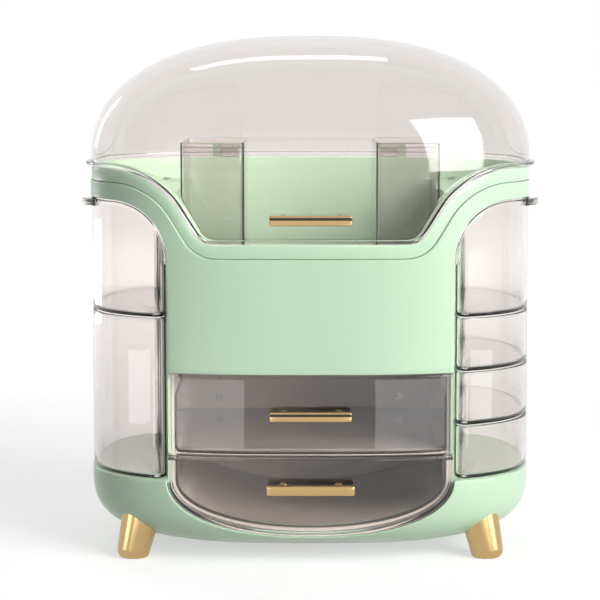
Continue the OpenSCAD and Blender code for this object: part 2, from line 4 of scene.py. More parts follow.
import bmesh
import bpy
import numpy as np
from bpy.props import FloatProperty, FloatVectorProperty, PointerProperty
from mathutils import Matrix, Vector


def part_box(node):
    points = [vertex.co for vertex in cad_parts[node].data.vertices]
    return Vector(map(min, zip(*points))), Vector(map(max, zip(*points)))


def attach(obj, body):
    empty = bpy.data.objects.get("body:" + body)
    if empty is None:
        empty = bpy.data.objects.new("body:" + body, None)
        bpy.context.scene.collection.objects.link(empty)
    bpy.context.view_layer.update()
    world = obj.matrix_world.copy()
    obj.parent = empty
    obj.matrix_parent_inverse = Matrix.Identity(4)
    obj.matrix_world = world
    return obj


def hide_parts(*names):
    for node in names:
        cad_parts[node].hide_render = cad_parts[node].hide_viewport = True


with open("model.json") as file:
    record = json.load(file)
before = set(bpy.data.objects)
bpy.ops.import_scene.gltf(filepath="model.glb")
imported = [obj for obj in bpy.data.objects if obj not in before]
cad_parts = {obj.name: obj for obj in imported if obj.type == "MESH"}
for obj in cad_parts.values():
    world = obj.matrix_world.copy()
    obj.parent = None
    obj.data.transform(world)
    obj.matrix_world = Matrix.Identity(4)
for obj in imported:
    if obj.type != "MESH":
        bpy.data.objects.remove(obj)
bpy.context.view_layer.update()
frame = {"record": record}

bl_info = {
    "name": "Makeup organizer",
    "version": (1, 0, 0),
    "blender": (4, 5, 0),
    "location": "View3D > Sidebar > Organizer",
    "description": "Makeup organizer with a clear domed lid, drawers and swing trays",
    "category": "Object",
}

MM = 0.001
MERGE_REACH = 1e-6      # points nearer than this are one
TABLE_POINTS = 16001    # steps of the table that measures lengths along the plan
LEAST_SCALE = 1e-3      # smallest share of the plan at the bowl's pole

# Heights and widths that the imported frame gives
BODY_LOW, BODY_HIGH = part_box("body_shell")
HALF_W = BODY_HIGH[0]
HALF_D = BODY_HIGH[1]
BASE_TOP = BODY_LOW[2]
BOWL_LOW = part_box("base_bowl")[0][2]
SEAM_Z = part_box("inner_tub")[1][2]
LID_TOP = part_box("lid_dome")[1][2]
CABINET_RISE = 1 * MM
PANEL_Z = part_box("drawer_cabinet")[1][2] - CABINET_RISE
WELL_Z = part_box("inner_tub")[0][2]
TRAY_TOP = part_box("left_tray_2")[1][2]


# ---- Settings ----

class OrganizerShape(bpy.types.PropertyGroup):
    """Sizes that the visible pieces are worked out from"""
    plan_power: FloatProperty(name="Plan power", default=2.85, min=2, max=4,
                              description="Squareness of the rounded plan")
    dome_power: FloatProperty(name="Dome power", default=2.4, min=2, max=4,
                              description="Squareness of the lid's profile")
    bowl_power: FloatProperty(name="Bowl power", default=3.5, min=2, max=5,
                              description="Squareness of the base bowl's profile")
    wall: FloatProperty(name="Wall", default=2.5 * MM, unit="LENGTH",
                        description="Wall of the green mouldings")
    column: FloatProperty(name="Column half width", default=95 * MM, unit="LENGTH",
                          description="Half the width of the column between the pods")
    dip_rise: FloatProperty(name="Dip", default=48.3 * MM, unit="LENGTH",
                            description="Depth of the dip in the front edge")
    dip_flat: FloatProperty(name="Dip flat", default=63 * MM, unit="LENGTH",
                            description="Half of the flat stretch at the bottom of the dip")
    dip_r_in: FloatProperty(name="Dip inner radius", default=15 * MM, unit="LENGTH",
                            description="Radius of the dip's inner corners")
    dip_r_out: FloatProperty(name="Dip shoulder radius", default=57 * MM, unit="LENGTH",
                             description="Radius of the dip's shoulders")
    dip_slope: FloatProperty(name="Dip slope", default=math.radians(58), subtype="ANGLE",
                             description="Slope of the dip's sides")
    collar: FloatProperty(name="Collar", default=9 * MM, unit="LENGTH",
                          description="Height of the tub's collar under the edge")
    band: FloatProperty(name="Band", default=20.6 * MM, unit="LENGTH",
                        description="Height of the band over the pods")
    arch: FloatProperty(name="Arch radius", default=38 * MM, unit="LENGTH",
                        description="Radius of the arch over each pod")
    smile_drop: FloatProperty(name="Smile", default=38 * MM, unit="LENGTH",
                              description="Drop of the lower drawer's curved edge")
    smile_power: FloatProperty(name="Smile power", default=2.1, min=2, max=3,
                               description="Squareness of the lower drawer's curved edge")
    split: FloatProperty(name="Drawer split", default=18 * MM, unit="LENGTH",
                         description="Height of the split between the drawers above the bowl")
    lid_wall: FloatProperty(name="Lid wall", default=2.2 * MM, unit="LENGTH",
                            description="Wall of the clear lid")
    flange: FloatProperty(name="Flange", default=3 * MM, unit="LENGTH",
                          description="Reach and thickness of the lid's flange")
    front_wall: FloatProperty(name="Front wall", default=3 * MM, unit="LENGTH",
                              description="Thickness of the clear drawer fronts")
    box_wall: FloatProperty(name="Box wall", default=1.8 * MM, unit="LENGTH",
                            description="Wall of the drawers' clear boxes")
    tray_wall: FloatProperty(name="Tray wall", default=2.2 * MM, unit="LENGTH",
                             description="Wall and floor of the swing trays")
    bin_wall: FloatProperty(name="Bin wall", default=1.8 * MM, unit="LENGTH",
                            description="Wall and floor of the bins")
    tab_reach: FloatProperty(name="Finger tab", default=4.5 * MM, unit="LENGTH",
                             description="Reach of the finger tabs of the top trays")
    post_x: FloatProperty(name="Pull posts", default=18.36 * MM, unit="LENGTH",
                          description="Distance of a pull's posts from its middle")
    foot_low_r: FloatProperty(name="Foot end", default=11 * MM, unit="LENGTH",
                              description="Radius of a foot near the ground")
    foot_high_r: FloatProperty(name="Foot top", default=14.2 * MM, unit="LENGTH",
                               description="Radius of a foot where it meets the bowl")
    foot_splay: FloatProperty(name="Foot splay", default=math.radians(12.4), subtype="ANGLE",
                              description="Lean of the feet to the sides")
    foot_rake: FloatProperty(name="Foot rake", default=math.radians(7), subtype="ANGLE",
                             description="Lean of the feet to the front and the back")
    foot_in_x: FloatProperty(name="Foot inset across", default=30.5 * MM, unit="LENGTH",
                             description="Distance of a foot from the body's side")
    foot_in_y: FloatProperty(name="Foot inset along", default=37 * MM, unit="LENGTH",
                             description="Distance of a foot from the body's front or back")


class OrganizerFinish(bpy.types.PropertyGroup):
    """Colours and finishes"""
    green: FloatVectorProperty(name="Green", subtype="COLOR", size=3, default=(0.5, 0.68, 0.49),
                               description="Colour of the green plastic")
    gold: FloatVectorProperty(name="Gold", subtype="COLOR", size=3, default=(0.53, 0.365, 0.17),
                              description="Colour of the gold plating")
    clear: FloatVectorProperty(name="Clear", subtype="COLOR", size=3, default=(0.875, 0.845, 0.83),
                               description="Tint of the clear plastic")
    grey: FloatVectorProperty(name="Grey", subtype="COLOR", size=3, default=(0.68, 0.63, 0.59),
                              description="Colour of the drawer cabinet")
    steel: FloatVectorProperty(name="Steel", subtype="COLOR", size=3, default=(0.36, 0.36, 0.37),
                               description="Colour of the plated screws and pins")
    # Near-black of the strip on the upper pulls: a painted dark reflection, the band that the polished bar
    # mirrors
    dark_reflection_colour: FloatVectorProperty(name="Painted_reflection", subtype="COLOR", size=3,
                                default=(0.012, 0.011, 0.01),
                                description="Colour of the line in the pulls")


class OrganizerStudio(bpy.types.PropertyGroup):
    """Camera and light"""
    lens: FloatProperty(name="Lens", default=133.8, min=20, max=400,
                        description="Focal length in millimetres on a 36 mm sensor")
    eye: FloatVectorProperty(name="Eye", subtype="TRANSLATION", size=3,
                             default=(-0.007, -1.552, 0.3445), description="Place of the camera")
    pitch: FloatProperty(name="Pitch", default=math.radians(83.5), subtype="ANGLE",
                         description="Angle of the camera from straight down")
    key: FloatProperty(name="Key light", default=62, min=0, description="Power of the main lamp")
    fill: FloatProperty(name="Fill light", default=0.8, min=0, description="Power of the fill lamp")
    sheen: FloatProperty(name="Reflections", default=5, min=0,
                         description="Brightness of the strips that only gloss and glass show")
    back: FloatProperty(name="Back light", default=16, min=0, description="Power of the lamp behind")
    ambient: FloatProperty(name="Ambient light", default=0.26, min=0,
                           description="Strength of the white world as a light")
    floor: FloatVectorProperty(name="Floor", subtype="COLOR", size=3, default=(0.6, 0.6, 0.6),
                               description="Colour of the floor")


def shape():
    return bpy.context.scene.organizer_shape


def finish_of():
    return bpy.context.scene.organizer_finish


# ---- Materials ----

def start_material(name):
    """An empty node material with a Principled shader and an output."""
    material = bpy.data.materials.new(name)
    material.use_nodes = True
    tree = material.node_tree
    tree.nodes.clear()
    output = tree.nodes.new("ShaderNodeOutputMaterial")
    shader = tree.nodes.new("ShaderNodeBsdfPrincipled")
    tree.links.new(shader.outputs["BSDF"], output.inputs["Surface"])
    return material, tree, shader, output


def noise(tree, scale, detail=2.0, stretch=(1, 1, 1)):
    """Noise on Object coordinates, in features per metre, drawn out by a stretch."""
    coords = tree.nodes.new("ShaderNodeTexCoord")
    mapping = tree.nodes.new("ShaderNodeMapping")
    mapping.inputs["Scale"].default_value = stretch
    tree.links.new(coords.outputs["Object"], mapping.inputs["Vector"])
    node = tree.nodes.new("ShaderNodeTexNoise")
    node.inputs["Scale"].default_value = scale
    node.inputs["Detail"].default_value = detail
    tree.links.new(mapping.outputs["Vector"], node.inputs["Vector"])
    return node.outputs["Fac"]


def vary_colour(tree, shader, fac, colour, spread):
    """Lets the base colour wander between a darker and a lighter shade of itself."""
    ramp = tree.nodes.new("ShaderNodeValToRGB")
    for element, place, share in zip(ramp.color_ramp.elements, (0.1, 0.9), (1 - spread, 1 + spread)):
        element.position = place
        element.color = (*(min(c * share, 1) for c in colour), 1)
    tree.links.new(fac, ramp.inputs["Fac"])
    tree.links.new(ramp.outputs["Color"], shader.inputs["Base Color"])


def map_to(tree, fac, low, high, source=(0, 1)):
    """Maps a source range on a range of values."""
    span = tree.nodes.new("ShaderNodeMapRange")
    span.inputs["From Min"].default_value = source[0]
    span.inputs["From Max"].default_value = source[1]
    span.inputs["To Min"].default_value = low
    span.inputs["To Max"].default_value = high
    tree.links.new(fac, span.inputs["Value"])
    return span.outputs["Result"]


def vary_roughness(tree, shader, fac, low, high):
    """Maps noise to a range of roughness."""
    tree.links.new(map_to(tree, fac, low, high, (0.1, 0.9)), shader.inputs["Roughness"])


def add_bump(tree, shader, fac, depth, strength=0.2):
    """Raises the surface by noise, to a depth in metres."""
    bump = tree.nodes.new("ShaderNodeBump")
    bump.inputs["Strength"].default_value = strength
    bump.inputs["Distance"].default_value = depth
    tree.links.new(fac, bump.inputs["Height"])
    tree.links.new(bump.outputs["Normal"], shader.inputs["Normal"])


def green_plastic():
    """Satin gloss plastic with a faint cloudiness and a fine moulded surface."""
    material, tree, shader, _ = start_material("green_plastic")
    vary_colour(tree, shader, noise(tree, scale=4, detail=0), finish_of().green, spread=0.008)
    vary_roughness(tree, shader, noise(tree, scale=400, detail=1), low=0.27, high=0.3)
    add_bump(tree, shader, noise(tree, scale=1400), depth=0.02 * MM)
    shader.inputs["Specular IOR Level"].default_value = 0.38
    shader.inputs["Coat Weight"].default_value = 0.12
    shader.inputs["Coat Roughness"].default_value = 0.12
    return material


def clear_plastic():
    """Polished clear plastic. Lamps shine through it, so it casts no dark shadow."""
    material, tree, shader, output = start_material("clear_plastic")
    vary_colour(tree, shader, noise(tree, scale=20), finish_of().clear, spread=0.006)
    vary_roughness(tree, shader, noise(tree, scale=40), low=0.015, high=0.035)
    shader.inputs["Transmission Weight"].default_value = 1
    shader.inputs["IOR"].default_value = 1.46
    lamps = tree.nodes.new("ShaderNodeLightPath")
    through = tree.nodes.new("ShaderNodeBsdfTransparent")
    through.inputs["Color"].default_value = (0.95, 0.945, 0.94, 1)
    mix = tree.nodes.new("ShaderNodeMixShader")
    tree.links.new(lamps.outputs["Is Shadow Ray"], mix.inputs["Fac"])
    tree.links.new(shader.outputs["BSDF"], mix.inputs[1])
    tree.links.new(through.outputs["BSDF"], mix.inputs[2])
    tree.links.new(mix.outputs["Shader"], output.inputs["Surface"])
    return material


def gold_plating():
    """Polished pale gold with faint buffing marks."""
    material, tree, shader, _ = start_material("gold_plating")
    vary_colour(tree, shader, noise(tree, scale=40, detail=3), finish_of().gold, spread=0.05)
    vary_roughness(tree, shader, noise(tree, scale=220, detail=3, stretch=(1, 1, 6)), low=0.13, high=0.24)
    add_bump(tree, shader, noise(tree, scale=900, stretch=(1, 1, 5)), depth=0.01 * MM, strength=0.15)
    shader.inputs["Metallic"].default_value = 1
    return material


def grey_plastic():
    """Matte warm grey plastic with a fine grain."""
    material, tree, shader, _ = start_material("grey_plastic")
    vary_colour(tree, shader, noise(tree, scale=30, detail=3), finish_of().grey, spread=0.06)
    vary_roughness(tree, shader, noise(tree, scale=120), low=0.55, high=0.7)
    add_bump(tree, shader, noise(tree, scale=1500), depth=0.03 * MM)
    return material


def plated_steel():
    """Plated steel of screws and pins, with drawn-out scratches."""
    material, tree, shader, _ = start_material("plated_steel")
    vary_colour(tree, shader, noise(tree, scale=90), finish_of().steel, spread=0.05)
    vary_roughness(tree, shader, noise(tree, scale=500, stretch=(1, 1, 4)), low=0.22, high=0.36)
    shader.inputs["Metallic"].default_value = 1
    return material


def painted_dark_reflection():
    """Near-black strip laid on the front of a pull: a painted dark reflection, standing in for the dark band
    that the polished bar mirrors.
    """
    material, tree, shader, _ = start_material("painted_dark_reflection")
    vary_colour(tree, shader, noise(tree, scale=200), finish_of().dark_reflection_colour, spread=0.2)
    vary_roughness(tree, shader, noise(tree, scale=300), low=0.2, high=0.32)
    return material


MAKERS = {
    "green_shell": green_plastic,
    "clear_plastic": clear_plastic,
    "gold_metal": gold_plating,
    "grey_liner": grey_plastic,
    "plated_steel": plated_steel,
    # near-black strip on the upper pulls: painted dark reflection
    "painted_dark_reflection": painted_dark_reflection,
}
made = {}


def material_for(slot):
    """The one material of a slot, made when it is first asked for."""
    if slot not in made:
        made[slot] = MAKERS[slot]()
    return made[slot]


# ---- Stage ----

def flat_square(name, half, z):
    """A square in the plane z, with corners at (+-half, +-half)."""
    corners = np.array([[-1, -1], [1, -1], [1, 1], [-1, 1]]) * half
    points = np.column_stack([corners, np.full(4, z)])
    mesh = bpy.data.meshes.new(name)
    mesh.from_pydata(points.tolist(), [], [(0, 1, 2, 3)])
    piece = bpy.data.objects.new(name, mesh)
    bpy.context.scene.collection.objects.link(piece)
    return piece


def seen_white(tree):
    """One for rays from the camera, gloss or glass, and nothing for the rays that carry light."""
    rays = tree.nodes.new("ShaderNodeLightPath")
    total = rays.outputs["Is Camera Ray"]
    for ray in ("Is Glossy Ray", "Is Transmission Ray"):
        add = tree.nodes.new("ShaderNodeMath")
        add.operation = "MAXIMUM"
        tree.links.new(total, add.inputs[0])
        tree.links.new(rays.outputs[ray], add.inputs[1])
        total = add.outputs["Value"]
    return total


def floor_material():
    """Plain pale floor with a trace of mottling. It glows for the eye alone, more so far from the
    lamps, so that it is seen as white all over, and its shadow stays."""
    material, tree, shader, _ = start_material("floor_white")
    vary_colour(tree, shader, noise(tree, scale=6), bpy.context.scene.organizer_studio.floor, spread=0.01)
    shader.inputs["Roughness"].default_value = 0.9
    shader.inputs["Specular IOR Level"].default_value = 0.0
    shader.inputs["Emission Color"].default_value = (1, 1, 1, 1)
    coords = tree.nodes.new("ShaderNodeTexCoord")
    reach = tree.nodes.new("ShaderNodeVectorMath")
    reach.operation = "LENGTH"
    tree.links.new(coords.outputs["Object"], reach.inputs[0])
    near, far = 0.6, 2.6
    glow = map_to(tree, reach.outputs["Value"], low=0.55, high=0.95, source=(near, far))
    shown = tree.nodes.new("ShaderNodeMath")
    shown.operation = "MULTIPLY"
    tree.links.new(glow, shown.inputs[0])
    tree.links.new(seen_white(tree), shown.inputs[1])
    tree.links.new(shown.outputs["Value"], shader.inputs["Emission Strength"])
    return material


def white_world():
    """White for the eye, mirrors and glass, and a softer light for everything else."""
    world = bpy.data.worlds.new("studio_world")
    world.use_nodes = True
    tree = world.node_tree
    tree.nodes.clear()
    output = tree.nodes.new("ShaderNodeOutputWorld")
    back = tree.nodes.new("ShaderNodeBackground")
    ambient = bpy.context.scene.organizer_studio.ambient
    tree.links.new(map_to(tree, seen_white(tree), ambient, 1.0), back.inputs["Strength"])
    back.inputs["Color"].default_value = (1, 1, 1, 1)
    tree.links.new(back.outputs["Background"], output.inputs["Surface"])
    bpy.context.scene.world = world


def soft_lamp(name, place, target, width, height, power):
    """A rectangular lamp at a place, turned towards a target."""
    light = bpy.data.lights.new(name, "AREA")
    light.shape = "RECTANGLE"
    light.size = width
    light.size_y = height
    light.energy = power
    lamp = bpy.data.objects.new(name, light)
    bpy.context.scene.collection.objects.link(lamp)
    aim = np.array(target, float) - np.array(place, float)
    distance = float(np.linalg.norm(aim))
    lamp.location = place
    lamp.rotation_euler = (math.acos(-aim[2] / distance), 0, math.atan2(aim[1], aim[0]) - math.pi / 2)
    return lamp


def strip_lamp(name, place, target, width, height, strength):
    """A lamp of a given brightness that only shows up as a reflection, and lights nothing."""
    lamp = soft_lamp(name, place, target, width, height, strength * math.pi * width * height)
    lamp.visible_camera = False
    lamp.visible_diffuse = False
    lamp.visible_transmission = False
    return lamp


# ---- Surfaces ----

def lame(angle, power):
    """Radius of the Lame curve |cos|^n + |sin|^n = 1 at an angle from its centre."""
    return (np.abs(np.cos(angle)) ** power + np.abs(np.sin(angle)) ** power) ** (-1 / power)


def plan_at(angle, depth=0.0, scale=1.0):
    """Point of the rounded plan, its half axes drawn in by a depth: radius times (cos, sin)."""
    radius = lame(angle, shape().plan_power) * scale
    return (HALF_W - depth) * radius * np.cos(angle), (HALF_D - depth) * radius * np.sin(angle)


def plan_y(x, depth=0.0, scale=1.0):
    """Half depth of the plan at x: b (1 - (x / a)^n)^(1/n)."""
    power = shape().plan_power
    share = np.clip(np.abs(x) / ((HALF_W - depth) * scale), 0, 1)
    return (HALF_D - depth) * scale * (1 - share ** power) ** (1 / power)


def angle_at(x, y):
    """Plan angle of a point, with 0 at +X and -90 degrees in front."""
    return np.arctan2(np.asarray(y) / HALF_D, np.asarray(x) / HALF_W)


def dip_z(x, drop=0.0):
    """Height of the dipped front edge, or of a line parallel to it and lower by a drop.

    From the middle: flat, an arc that turns up, a straight slope, an arc that turns level."""
    form = shape()
    r_in = form.dip_r_in + drop
    r_out = form.dip_r_out - drop
    low = SEAM_Z - form.dip_rise - drop
    high = SEAM_Z - drop
    slope = form.dip_slope
    x_b = form.dip_flat + r_in * math.sin(slope)
    z_b = low + r_in * (1 - math.cos(slope))
    z_c = high - r_out * (1 - math.cos(slope))
    x_c = x_b + (z_c - z_b) / math.tan(slope)
    x_d = x_c + r_out * math.sin(slope)
    x = np.abs(x)
    inner = low + r_in - np.sqrt(np.maximum(r_in ** 2 - np.clip(x - form.dip_flat, 0, r_in) ** 2, 0))
    sloping = z_b + (x - x_b) * math.tan(slope)
    outer = high - r_out + np.sqrt(np.maximum(r_out ** 2 - np.clip(x_d - x, 0, r_out) ** 2, 0))
    steps = [x <= form.dip_flat, x <= x_b, x <= x_c, x <= x_d]
    return np.select(steps, [np.full_like(x, low), inner, sloping, outer], high)


def edge_z(angle, drop=0.0):
    """Height of the edge all round: dipped in front, level at the sides and behind."""
    x, y = plan_at(angle)
    return np.where(y < 0, dip_z(x, drop), SEAM_Z - drop)


def bow(x, z, depth=0.0):
    """Point of the bowed front over (x, z): the straight plan above the bowl's top, and the
    bowl's own curve below, where the plan shrinks with the Lame profile of the bowl."""
    power = shape().bowl_power
    rise = BASE_TOP - BOWL_LOW - depth
    sunk = np.clip((BASE_TOP - z) / rise, 0, 1)
    scale = (1 - sunk ** power) ** (1 / power)
    return np.stack([x, -plan_y(x, depth, np.maximum(scale, LEAST_SCALE)), z], -1)


def outward(points):
    """Outward normals of a closed outline that runs anticlockwise."""
    along = np.roll(points, -1, 0) - np.roll(points, 1, 0)
    along /= np.linalg.norm(along, axis=1)[:, None]
    return np.stack([along[:, 1], -along[:, 0]], -1)


def grid_faces(rows, columns, wrap_rows=False, wrap_columns=True, start=0):
    """Quads of a grid of points, joined at its ends where it wraps."""
    index = np.arange(rows * columns).reshape(rows, columns) + start
    if wrap_rows:
        index = np.concatenate([index, index[:1]])
    if wrap_columns:
        index = np.concatenate([index, index[:, :1]], 1)
    return np.stack([index[:-1, :-1], index[:-1, 1:], index[1:, 1:], index[1:, :-1]], -1).reshape(-1, 4)


def closed_skin(grid, wrap_rows=False):
    """A closed surface of a grid (rows, columns, xyz) whose columns wrap, facing outwards.

    The signed volume, a sixth of the sum of corner triple products, tells which way it faces."""
    points = np.asarray(grid, float)
    faces = grid_faces(points.shape[0], points.shape[1], wrap_rows)
    points = points.reshape(-1, 3)
    a, b, c, d = (points[faces[:, k]] for k in range(4))
    volume = (np.cross(a, b) * c).sum() + (np.cross(a, c) * d).sum()
    return points, faces if volume > 0 else faces[:, ::-1]


def quarter_round(radius, count=6):
    """Rounded edge from its face to its side, as rows (drawn in, sunk): radius times
    (1 - sin a, 1 - cos a)."""
    angle = np.linspace(0, math.pi / 2, count)
    return radius * np.column_stack([1 - np.sin(angle), 1 - np.cos(angle)])


def between(first, last, shares):
    """Values on the straight way from a first one to a last one, at shares of the way."""
    return [first + (last - first) * share for share in shares]


def add_piece(name, skins, slot, body, replaced=(), sharp=38, material=None):
    """Joins skins into one smooth mesh, merges poles and seams, and hangs it on its body.

    Edges that turn by more than the angle sharp, in degrees, stay sharp."""
    points = np.concatenate([skin[0] for skin in skins])
    offsets = np.cumsum([0] + [len(skin[0]) for skin in skins[:-1]])
    faces = np.concatenate([skin[1] + offset for skin, offset in zip(skins, offsets)])
    mesh = bpy.data.meshes.new(name)
    mesh.from_pydata(points, [], faces)
    work = bmesh.new()
    work.from_mesh(mesh)
    bmesh.ops.remove_doubles(work, verts=work.verts, dist=MERGE_REACH)
    bmesh.ops.dissolve_degenerate(work, dist=0.1 * MERGE_REACH, edges=work.edges)
    work.to_mesh(mesh)
    work.free()
    mesh.shade_smooth()
    mesh.set_sharp_from_angle(angle=math.radians(sharp))
    mesh.materials.append(material or material_for(slot))
    piece = bpy.data.objects.new(name, mesh)
    bpy.context.scene.collection.objects.link(piece)
    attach(piece, body)
    if replaced:
        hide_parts(*replaced)
    return piece


def plan_table():
    """Angles of the plan and the arc length up to each, counted from the middle of the front."""
    fine = np.linspace(-0.5 * math.pi, 1.5 * math.pi, TABLE_POINTS)
    x, y = plan_at(fine)
    return fine, np.concatenate([[0], np.cumsum(np.hypot(np.diff(x), np.diff(y)))])


def plan_length():
    return plan_table()[1][-1]


def angle_of_arc(arc):
    """Plan angle at an arc length, which may lie outside one turn."""
    fine, table = plan_table()
    return np.interp(np.asarray(arc) % table[-1], table, fine)


def arc_of_x(x, back=False):
    """Arc length of the plan's point over x on its right half, in front or behind."""
    fine, table = plan_table()
    x = np.asarray(x, float)
    return np.interp(angle_at(x, plan_y(x) * (1 if back else -1)), fine, table)


def arc_of_side(x_front, x_back):
    """Arc lengths where the right side starts, at x in front, and ends, at x behind."""
    return float(arc_of_x(x_front)), float(arc_of_x(x_back, True))


def rounded_path(corners, radii, step=2 * MM, closed=True, arc_points=7):
    """Path through corners, each turned by an arc of its radius, with even steps between arcs.

    An arc starts r / tan(half the corner) from the corner. Its points are turned evenly from
    the first radius to the last: (first sin((1 - t) w) + last sin(t w)) / sin(w)."""
    corners = np.asarray(corners, float)
    rows = []
    for i, corner in enumerate(corners):
        at_end = not closed and i in (0, len(corners) - 1)
        if at_end or radii[i] <= 0:
            rows.append(corner[None])
            continue
        before = corners[i - 1] - corner
        after = corners[(i + 1) % len(corners)] - corner
        before, after = before / np.linalg.norm(before), after / np.linalg.norm(after)
        half = math.acos(np.clip(before @ after, -1, 1)) / 2
        bisector = (before + after) / np.linalg.norm(before + after)
        middle = corner + bisector * radii[i] / math.sin(half)
        first = corner + before * radii[i] / math.tan(half) - middle
        last = corner + after * radii[i] / math.tan(half) - middle
        turn = math.pi - 2 * half
        count = max(arc_points, int(radii[i] * turn / step) + 1)
        share = np.linspace(0, 1, count)[:, None]
        rows.append(middle + (first * np.sin((1 - share) * turn) + last * np.sin(share * turn))
                    / math.sin(turn))
    points = np.concatenate(rows)
    filled = fill_gaps(points, step)
    if closed:
        return filled
    last = np.flatnonzero((filled == points[-1]).all(1))[0]
    return filled[:last + 1]


def fill_gaps(points, step):
    """Adds points on the long stretches of a closed path, no further apart than a step."""
    ahead = np.roll(points, -1, 0)
    counts = np.maximum(np.ceil(np.linalg.norm(ahead - points, axis=1) / step), 1).astype(int)
    starts = np.repeat(np.arange(len(points)), counts)
    first = np.repeat(np.cumsum(counts) - counts, counts)
    share = (np.arange(len(starts)) - first) / counts[starts]
    return points[starts] + (ahead - points)[starts] * share[:, None]


def wall_section(wall, radius, rows):
    """Closed section of a wall between two edges, both rounded on both sides.

    Gives the share of the way from the first edge to the second, a shift along that way in
    metres, and the depth into the wall."""
    inset, sunk = quarter_round(radius, 4).T
    face = np.linspace(0, 1, rows)
    ends = 2 * len(inset)
    share = np.concatenate([face, np.ones(ends), face[::-1], np.zeros(ends)])
    shift = np.concatenate([radius * (1 - 2 * face), -inset, -inset[::-1],
                            radius * (1 - 2 * face[::-1]), inset, inset[::-1]])
    depth = np.concatenate([np.zeros(rows), sunk, wall - sunk[::-1],
                            np.full(rows, wall), wall - sunk, sunk[::-1]])
    return share, shift, depth


def ruled_wall(first, second, section):
    """Grid (rows, columns, 2) of a section carried along two edges given as (arc, z), and the
    depth of each row: first + (second - first) share + unit vector times shift."""
    share, shift, depth = section
    way = second - first
    unit = way / np.linalg.norm(way, axis=1)[:, None]
    return first[None] + way[None] * share[:, None, None] + unit[None] * shift[:, None, None], depth


def on_plan(arc, z, depth):
    """Point of the upright plan wall at an arc length, a height and a depth into the wall."""
    x, y = plan_at(angle_of_arc(arc), depth)
    return np.stack([x, y, z + 0 * x], -1)


def plate(outline, low, high, radius, place):
    """Closed flat plate over an outline, between two levels, with rounded edges.

    From the middle out to the outline less the radius, round the edge, and back in. A function
    place turns (outline x, outline y, level) into points."""
    normal = outward(outline)
    middle = outline.mean(0)
    inset, sunk = quarter_round(radius, 4).T
    rings = [middle + 0 * outline]
    levels = [low]
    for step_in, level in [*zip(inset, low + sunk), *zip(inset[::-1], (high - sunk)[::-1])]:
        rings.append(outline - normal * step_in)
        levels.append(level)
    rings.append(rings[0])
    levels.append(high)
    flat = np.stack(rings)
    return closed_skin(place(flat[..., 0], flat[..., 1], np.array(levels)[:, None] + 0 * flat[..., 0]))


def whole_ring(rows):
    """Whole rings from the rows of a right half, which start and end on the middle plane."""
    half = np.asarray(rows)
    other = half[:, -2:0:-1] * np.array([-1, 1, 1])
    return np.concatenate([half, other], 1)


# ---- Pieces ----

def line(start, end, step=2 * MM):
    """Even points from a start up to, but not at, an end."""
    start, end = np.asarray(start, float), np.asarray(end, float)
    count = max(int(np.linalg.norm(end - start) / step), 1)
    return start + (end - start) * np.arange(count)[:, None] / count


def turn(centre, radius, first, last, step=2 * MM):
    """Even points on an arc between two angles in degrees, without its end."""
    count = max(int(abs(last - first) * math.pi / 180 * radius / step), 6)
    angle = np.radians(first + (last - first) * np.arange(count) / count)
    return np.column_stack([centre[0] + radius * np.cos(angle), centre[1] + radius * np.sin(angle)])


def body_edges():
    """Lower and upper edge of the body shell's right half, as matching points (arc, z).

    The lower edge goes along the panel, up to the arch, over the pod, down the back panel and
    along its foot. The upper edge is the dipped line, spread so that lines between the two
    stay on the shell."""
    form = shape()
    side, arch = form.column, form.arch
    r = 1.6 * MM
    band_z = SEAM_Z - form.band
    # Where the upper edge is as the lower one reaches the ends of its stretches
    panel_x, corner_x, arch_x = 46 * MM, 50 * MM, 90 * MM
    back_x, foot_x = 42 * MM, 38 * MM
    front = [
        (line((0, PANEL_Z), (side - r, PANEL_Z)), 0, panel_x),
        (turn((side - r, PANEL_Z + r), r, -90, 0), panel_x, corner_x),
        (line((side, PANEL_Z + r), (side, band_z - arch)), corner_x, arch_x),
        (turn((side + arch, band_z - arch), arch, 180, 90), arch_x, side + arch),
    ]
    back = [
        (turn((side + r, band_z - r), r, 90, 180), side + r, side - r),
        (line((side, band_z - r), (side, BASE_TOP + r)), side - r, back_x),
        (turn((side - r, BASE_TOP + r), r, 0, -90), back_x, foot_x),
        (line((side - r, BASE_TOP), (0, BASE_TOP)), foot_x, 0),
    ]
    lower, upper = [], []
    for part, is_back in ((front, False), (back, True)):
        for points, x0, x1 in part:
            lower.append(np.column_stack([arc_of_x(points[:, 0], is_back), points[:, 1]]))
            upper.append(arc_of_x(x0 + (x1 - x0) * np.arange(len(points)) / len(points), is_back))
        if not is_back:
            level = np.arange(*arc_of_side(side + arch, side + r), 2 * MM)
            lower.append(np.column_stack([level, band_z + 0 * level]))
            upper.append(level)
    half = plan_length() / 2
    seam_gap = 0.3 * MM
    lower = np.concatenate([*lower, [[half, BASE_TOP]]])
    upper = np.append(np.concatenate(upper), half)
    return lower, np.column_stack([upper, edge_z(angle_of_arc(upper), form.collar + seam_gap)])


